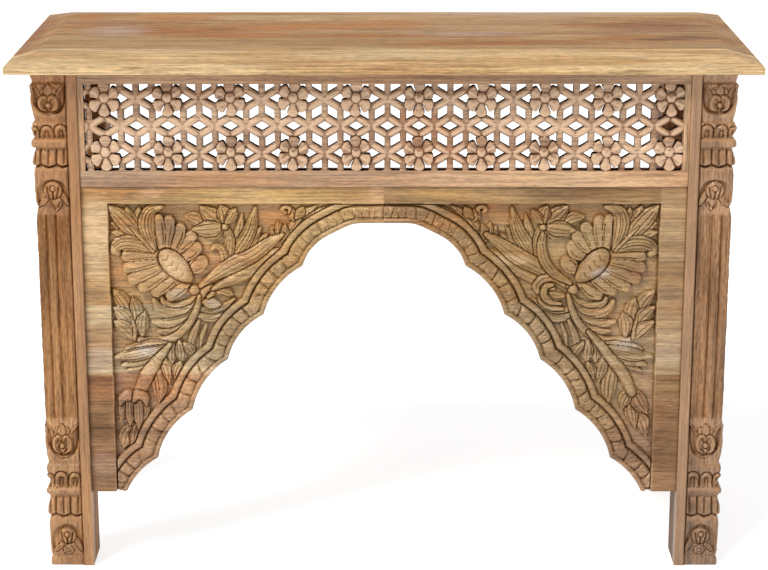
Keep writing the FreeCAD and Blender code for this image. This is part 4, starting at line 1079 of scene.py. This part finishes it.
        # inverted lotus cut into the block above the shaft: a dome under a hollow hood, a leaf at each side
        s([(250, 1096), (172, 1134), (126, 1214), (104, 1306)], [16, 34, 36, 8], top=-3.0, edge=-1.8, moat=0.8, deep=-2.4)
        s([(250, 1096), (322, 1130), (372, 1212), (410, 1300)], [16, 26, 24, 8], top=-2.8, edge=-1.8, moat=0.8, deep=-2.4)
        s([(202, 1258), (158, 1296), (104, 1350)], [14, 26, 24, 6], top=0.5, edge=-1.0, moat=1.2, deep=-3.6, veins=(0.0,), vein=1.0)
        s([(318, 1196), (360, 1266), (404, 1350)], [16, 28, 26, 6], top=0.6, edge=-1.0, moat=1.2, deep=-3.6, veins=(0.0,), vein=1.0)
        if low:                          # a round boss or a kite hangs under the dome
            blob((256, 1326), 56, 48, top=0.5, edge=-1.0, moat=1.2, deep=-3.2)
            cut([(224, 1326), (256, 1354), (288, 1326), (256, 1300), (224, 1326)], 0.9, 1.2)
            blob((256, 1326), 16, 14, top=1.0, edge=-0.2, moat=0.9, deep=-1.8)
        else:
            s([(262, 1246), (280, 1318), (274, 1394)], [40, 58, 44, 4], top=0.7, edge=-0.6, moat=1.2, deep=-3.8, power=4.0)
            cut([(230, 1296), (246, 1332), (262, 1370)], 1.0, 2.2)
            cut([(310, 1300), (296, 1332), (282, 1364)], 1.0, 2.2)
        blob((247, 1186), 90, 84, top=1.2, edge=-0.6, moat=1.5, deep=-3.8, power=3.0)
        cut([(246, 1198), (247, 1232), (247, 1266)], 1.2, 3.0)
        cut([(190, 1150), (195, 1196), (210, 1250)], 1.1, 2.8)
        cut([(302, 1158), (296, 1200), (280, 1252)], 1.1, 2.8)
        blob((245, 1168), 27, 26, top=2.2, edge=0.4, moat=1.4, deep=-2.4)


def leg_canvas(zl, seed):
    """Depth of the carving (mm, 0 is the section's own surface) and its cavity value over the carved zone, which
    carries painted shade in the recesses and painted highlights on the crests and mouldings.
    """
    rng = np.random.default_rng(seed)
    u = np.linspace(-2.0, ZONE, int(ZONE / 0.9))
    zf = np.linspace(0, LEG_H, int(LEG_H / 0.9))
    gu, gz = np.meshgrid(u, zf)
    base = -0.5 + 0.2 * fbm(gu / 14, gz / 14, seed)
    # reeded shaft
    cuts = [-0.04, 0.44, 0.70, 1.06]
    m = gu / ZONE + 0.008 * noise2(gz / 70, gz * 0 + 0.3, seed + 4)
    reed = np.full(gu.shape, -2.2)
    for a, b in zip(cuts[:-1], cuts[1:]):
        q = np.abs(m - (a + b) / 2) / ((b - a) / 2)
        reed = np.where(q < 1, -2.2 + 2.0 * (1 - np.minimum(q, 1) ** 4.0) ** 0.7, reed)
    reed = reed - 0.7 * np.exp(-(((m - 0.20 - 0.06 * gz / 600) / 0.02) ** 2)) * smooth(420, 330, gz)
    reed = reed + 0.3 * noise2(gu / 2.2, gz / 6.0, seed + 5)
    k = smooth(236, 246, gz) * (1 - smooth(560, 569, gz))
    base = base * (1 - k) + reed * k
    r = Relief(u, zf, base, seed, jitter=0.22, unit=1.6)
    carve_leg(r, rng)
    h = 1.65 * r.h + 0.16 * noise2(gu / 2.2, gz / 2.2, seed + 7)
    # painted shade in the recesses and painted highlight on the crests from the height against its blur, the reeded
    # shaft a little darker, plus the painted highlights and shade held in the relief's tone
    cav = np.clip(0.5 + 0.085 * (h - blur(h, 3)) + 0.026 * (h - blur(h, 10)) - 0.19 * k + r.tone, 0, 1)
    return u, zf, h, cav


def bilinear(u, v, a, gu, gv):
    """Values of the grid a (rows v, columns u, both evenly spaced) at the points gu, gv."""
    fu = np.clip((gu - u[0]) / (u[1] - u[0]), 0, len(u) - 1.001)
    fv = np.clip((gv - v[0]) / (v[1] - v[0]), 0, len(v) - 1.001)
    i, j = fu.astype(int), fv.astype(int)
    a0, a1 = fu - i, fv - j
    return (a[j, i] * (1 - a0) + a[j, i + 1] * a0) * (1 - a1) + (a[j + 1, i] * (1 - a0) + a[j + 1, i + 1] * a0) * a1


def leg(name, node, sx, sy, material, seed):
    p = np.unique(np.concatenate((
        [0, 0.4, 1.0, 1.8], np.arange(4, STRIP - 1, 4.0), np.linspace(STRIP - 1.6, STRIP + 2.0, 6), np.arange(STRIP + 2.8, P_MID, 1.1),
        [P_MID],
    )))
    p = np.unique(np.concatenate((p, P_END - p)))
    zl = np.unique(np.concatenate((
        [0, 0.5, 1.3], np.arange(3, 250, 1.15), np.arange(250, 556, 3.2), np.arange(556, 781, 1.15), [781.4, 782],
    )))
    u, zf, h, cv = leg_canvas(zl, seed)
    gp, gz = np.meshgrid(p, zl)
    fold = np.minimum(gp, P_END - gp)
    zone_u = fold - STRIP
    h2, c2 = bilinear(u, zf, h, zone_u, gz), bilinear(u, zf, cv, zone_u, gz)
    # the side face carries the same carving, cut by hand a second time
    u3, zf3, h3, cv3 = leg_canvas(zl, seed + 500)
    other = gp > P_MID
    h2 = np.where(other, bilinear(u3, zf3, h3, zone_u, gz), h2)
    c2 = np.where(other, bilinear(u3, zf3, cv3, zone_u, gz), c2)
    near = np.abs(gp - P_MID) < 2.2                        # meet at the corner
    inset = 0.9 + np.interp(gz, INSET[:, 0], INSET[:, 1]) + 0.25 * noise2(gz / 9, gp * 0 + seed, seed + 3)
    depth = inset - h2
    depth = np.where(near, np.minimum(depth, inset + 3.0), depth)
    carved = smooth(STRIP + 0.2, STRIP + 1.6, fold)
    groove = 2.4 * np.exp(-(((fold - STRIP - 0.9) / 1.2) ** 2)) * smooth(12, 22, gz) * (1 - smooth(770, 778, gz))
    plain = 0.5 + 0.25 * fbm(gp / 30, gz / 80, seed + 11) + 0.9 * np.clip(1 - fold / 1.8, 0, 1) ** 2
    dep = plain * (1 - carved) + depth * carved + groove
    dep = np.clip(dep, 0.0, 11.0)
    ends = np.minimum(gz, LEG_H - gz)
    dep = dep + 1.0 * np.clip(1 - gz / 1.4, 0, 1) ** 2
    cav = np.where(carved > 0.5, c2, np.clip(0.66 + 0.14 * fbm(gp / 9, gz / 70, seed + 21), 0.5, 0.82))
    # painted shade in the groove beside the plain strip
    cav = np.where(np.exp(-(((fold - STRIP - 0.9) / 1.3) ** 2)) > 0.4, np.minimum(cav, 0.3), cav)
    # position and normal round the corner, for the +X front leg
    arc = np.clip((gp - P_FRONT) / LEG_R0, 0, math.pi / 2)
    cx, cy = LEG_OUT - LEG_R0, LEG_FRONT + LEG_R0
    bx = np.where(gp < P_FRONT, LEG_IN + gp, cx + LEG_R0 * np.sin(arc))
    by = np.where(gp < P_FRONT, LEG_FRONT, cy - LEG_R0 * np.cos(arc))
    tail = np.maximum(gp - (P_FRONT + math.pi * LEG_R0 / 2), 0)
    by = by + tail
    nx, ny = np.sin(arc), -np.cos(arc)
    X, Y = bx - nx * dep, by - ny * dep
    X = np.where(gp <= 0, LEG_IN, X)
    # plain inner faces, made darker with painted shade through a low cav value
    inner = [(LEG_OUT - 30, LEG_FRONT + LEG_DEPTH), (LEG_IN + 20, LEG_FRONT + LEG_DEPTH), (LEG_IN + 0.9, LEG_FRONT + LEG_DEPTH), (LEG_IN, LEG_FRONT + LEG_DEPTH - 0.9), (LEG_IN, LEG_FRONT + LEG_DEPTH - 22), (LEG_IN, LEG_FRONT + 24)]
    ix = np.array([a for a, _ in inner])[None, :] + np.zeros((len(zl), 1))
    iy = np.array([a for _, a in inner])[None, :] + np.zeros((len(zl), 1))
    X, Y = np.hstack((X, ix)), np.hstack((Y, iy))
    # painted shade on the inner faces
    cav = np.hstack((cav, np.full(ix.shape, 0.28)))
    Z = np.broadcast_to(zl[:, None], X.shape)
    nzr, m = X.shape
    idx = np.arange(nzr * m).reshape(nzr, m)
    a, b = idx[:-1], np.roll(idx, -1, axis=1)[:-1]
    c, d = np.roll(idx, -1, axis=1)[1:], idx[1:]
    side = np.stack((a, b, c, d), axis=2).reshape(-1, 4)
    bottom, top = idx[0][::-1][None, :], idx[-1][None, :]
    polys = [side, bottom, top]
    if sx * sy < 0:
        polys = [q[:, ::-1] for q in polys]
    v = np.stack((sx * X.ravel(), sy * Y.ravel(), Z.ravel()), axis=1)
    return build(name, v, polys, material, [node], {"cav": cav.ravel()})


leg("carved_front_leg_right", "front_leg_right", 1, 1, M["leg_right"], 401)
leg("carved_front_leg_left", "front_leg_left", -1, 1, M["leg_left"], 402)
leg("carved_back_leg_right", "back_leg_right", 1, -1, M["leg_back_right"], 403)
leg("carved_back_leg_left", "back_leg_left", -1, -1, M["leg_back_left"], 404)


# ---------------------------------------------------------------- plank top
def lines(a, b, step, extra=(), lo_round=True, hi_round=True):
    fine = [0.0, 0.25, 0.6, 1.1, 1.8, 2.8]
    out = list(np.arange(a + 3, b - 3, step)) + [a, b]
    out += [a + k for k in fine] + [b - k for k in fine]
    for e in extra:
        out += [e + k for k in (-3.0, -1.6, -0.8, 0.0, 0.8, 1.6, 3.0) if a < e + k < b]
    out = np.unique(np.round(out, 4))
    keep = [out[0]]
    for q in out[1:]:
        if q - keep[-1] > 0.12:
            keep.append(q)
    keep[-1] = out[-1]
    return np.array(keep)


def top_board(name, y0, y1, material, seed):
    hw, hd = TOP_W / 2, TOP_D / 2
    x = lines(-hw, hw, 9.0, (-hw + BEVEL_W, hw - BEVEL_W))
    y = lines(y0, y1, 6.0, (-hd + BEVEL_W, hd - BEVEL_W))
    gx, gy = np.meshgrid(x, y)
    z1, z2 = LEG_H + TOP_T - BEVEL_H, LEG_H + TOP_T
    slope = BEVEL_H / BEVEL_W
    hx, hy = z1 + slope * (hw - np.abs(gx)), z1 + slope * (hd - np.abs(gy))
    zt = softmin(softmin(hx, hy, 0.6), np.full(gx.shape, z2), 1.4)
    zt = zt + 0.16 * fbm(gx / 170, gy / 34, seed) - 0.12
    u = np.minimum(hw - np.abs(gx), hd - np.abs(gy))
    r = 2.0
    q = np.clip(1 - u / r, 0, 1)
    zt = zt - r * (1 - np.sqrt(np.maximum(1 - q * q, 0)))
    for j in BOARD_JOINTS_Y:
        open_ = smooth(270, 330, gx) * (j == BOARD_JOINTS_Y[0])     # the front joint has opened at its right end
        zt = zt - (0.5 + 1.6 * open_) * np.exp(-((np.abs(gy - j) / (0.7 + 0.5 * open_)) ** 2))
    q = np.clip(1 - u / 1.2, 0, 1)
    zb = LEG_H + 1.2 * (1 - np.sqrt(np.maximum(1 - q * q, 0)))
    ny, nx = gx.shape
    n = nx * ny
    idx = np.arange(n).reshape(ny, nx)
    quads = np.stack((idx[:-1, :-1], idx[:-1, 1:], idx[1:, 1:], idx[1:, :-1]), axis=2).reshape(-1, 4)
    u_, v_ = outline_edges([quads])
    walls = np.stack((v_, u_, u_ + n, v_ + n), axis=1)
    verts = np.vstack((np.stack((gx, gy, zt), 2).reshape(-1, 3), np.stack((gx, gy, zb), 2).reshape(-1, 3)))
    return build("planed_" + name, verts, [quads, quads[:, ::-1] + n, walls], material, [name], sharp=50)


edges_y = (-TOP_D / 2,) + BOARD_JOINTS_Y + (TOP_D / 2,)
for i, n in enumerate(("front", "mid_front", "mid_rear", "rear")):
    top_board("top_board_" + n, edges_y[i], edges_y[i + 1], M["top_" + n], 600 + i)


# ---------------------------------------------------------------- straight pieces: the solid's own shape with eased edges
def eased(node, material, width=1.2, long=10.0):
    src = NODES[node]
    bm = bmesh.new()
    bm.from_mesh(src.data)
    bmesh.ops.remove_doubles(bm, verts=bm.verts, dist=1e-6)
    bmesh.ops.dissolve_limit(bm, angle_limit=math.radians(0.6), verts=bm.verts, edges=bm.edges)
    bm.edges.ensure_lookup_table()
    chosen = [e for e in bm.edges if len(e.link_faces) == 2 and e.calc_length() > long * MM and e.calc_face_angle(0) > math.radians(40)]
    bmesh.ops.bevel(bm, geom=chosen, offset=width * MM, offset_type="OFFSET", segments=3, profile=0.6, affect="EDGES", clamp_overlap=True)
    bmesh.ops.recalc_face_normals(bm, faces=bm.faces)
    me = bpy.data.meshes.new("eased_" + node)
    bm.to_mesh(me)
    bm.free()
    return place("eased_" + node, me, material, [node], 30.0)


eased("frieze_top_rail", M["rail_top"])
eased("frieze_bottom_rail", M["rail_low"])
eased("frieze_stile_left", M["stile"], 0.8)
eased("frieze_stile_right", M["stile"], 0.8)
eased("side_apron_left", M["apron_side"], 1.5)
eased("side_apron_right", M["apron_side"], 1.5)
eased("back_apron", M["apron"], 1.5)


def dress(node, material):
    o = NODES[node]
    if not o.material_slots:
        o.data.materials.append(material)
    for s in o.material_slots:
        s.material = material


for n in ("top_batten_left", "top_batten_right", "corner_block_front_left", "corner_block_front_right", "corner_block_back_left", "corner_block_back_right"):
    dress(n, M["inner"])
for n in ("corner_cleat_left", "corner_cleat_right", "centre_cleat"):
    dress(n, M["inner_z"])
for n in ("top_dowels", "spandrel_dowels"):
    dress(n, M["dowel"])
for n in ("cleat_screws", "batten_screws", "block_screws"):
    dress(n, M["steel"])


# ---------------------------------------------------------------- floor, light and camera
def floor():
    f = Finish("floor_pale")
    n = f.noise(f.coords(0, 1.3, 1.3, (0, 0, 0)), 2.0, 0.5)
    f.put(f.bsdf, "Base Color", f.mix(f.span(n, 0.3, 0.7), (0.42, 0.42, 0.423, 1), (0.44, 0.44, 0.442, 1)))
    f.bsdf.inputs["Roughness"].default_value = 0.75
    f.bsdf.inputs["Emission Color"].default_value = (1.0, 1.0, 1.0, 1.0)
    f.bsdf.inputs["Emission Strength"].default_value = 0.76
    me = bpy.data.meshes.new("floor")
    a = 40.0
    me.from_pydata([(-a, -a, -0.0003), (a, -a, -0.0003), (a, a, -0.0003), (-a, a, -0.0003)], [], [(0, 1, 2, 3)])
    me.materials.append(f.m)
    o = bpy.data.objects.new("floor", me)
    bpy.context.scene.collection.objects.link(o)


floor()


def sun(name, toward, power, angle, colour=(1, 1, 1)):
    """Soft distant light that shines along the direction."""
    d = bpy.data.lights.new(name, "SUN")
    d.energy, d.angle, d.color = power, math.radians(angle), colour
    o = bpy.data.objects.new(name, d)
    o.rotation_euler = Vector(toward).to_track_quat("-Z", "Y").to_euler()
    bpy.context.scene.collection.objects.link(o)


sun("key", (0.6, 0.62, -1.0), 3.1, 24, (1.0, 0.985, 0.955))
sun("fill", (-0.9, 0.7, -0.5), 0.25, 60, (0.97, 0.985, 1.0))
sun("back", (-0.1, -0.9, -1.0), 0.8, 70)

world = bpy.data.worlds.new("studio")
world.use_nodes = True
wt = world.node_tree
bg = wt.nodes["Background"]
way = wt.nodes.new("ShaderNodeTexCoord")
split = wt.nodes.new("ShaderNodeSeparateXYZ")
fall = wt.nodes.new("ShaderNodeMapRange")
fall.interpolation_type = "SMOOTHSTEP"
for key, value in (("From Min", 0.12), ("From Max", 0.26), ("To Min", 1.0), ("To Max", 0.2)):
    fall.inputs[key].default_value = value
wt.links.new(way.outputs["Generated"], split.inputs[0])
wt.links.new(split.outputs["Z"], fall.inputs["Value"])
wt.links.new(fall.outputs[0], bg.inputs["Strength"])
bg.inputs["Color"].default_value = (1.0, 1.0, 1.0, 1.0)
bpy.context.scene.world = world
bpy.context.scene.view_settings.view_transform = "Standard"
bpy.context.scene.view_settings.look = "None"

cam = bpy.data.cameras.new("camera")
cam.sensor_width, cam.lens = 36.0, 98.62
cam.shift_y = -82.0 / 768.0
cam.clip_start, cam.clip_end = 0.05, 60.0
co = bpy.data.objects.new("camera", cam)
co.location = (0.0, -3.2, 1.389)
co.rotation_euler = (math.radians(90 - 14.99), 0, 0)
bpy.context.scene.collection.objects.link(co)
bpy.context.scene.camera = co
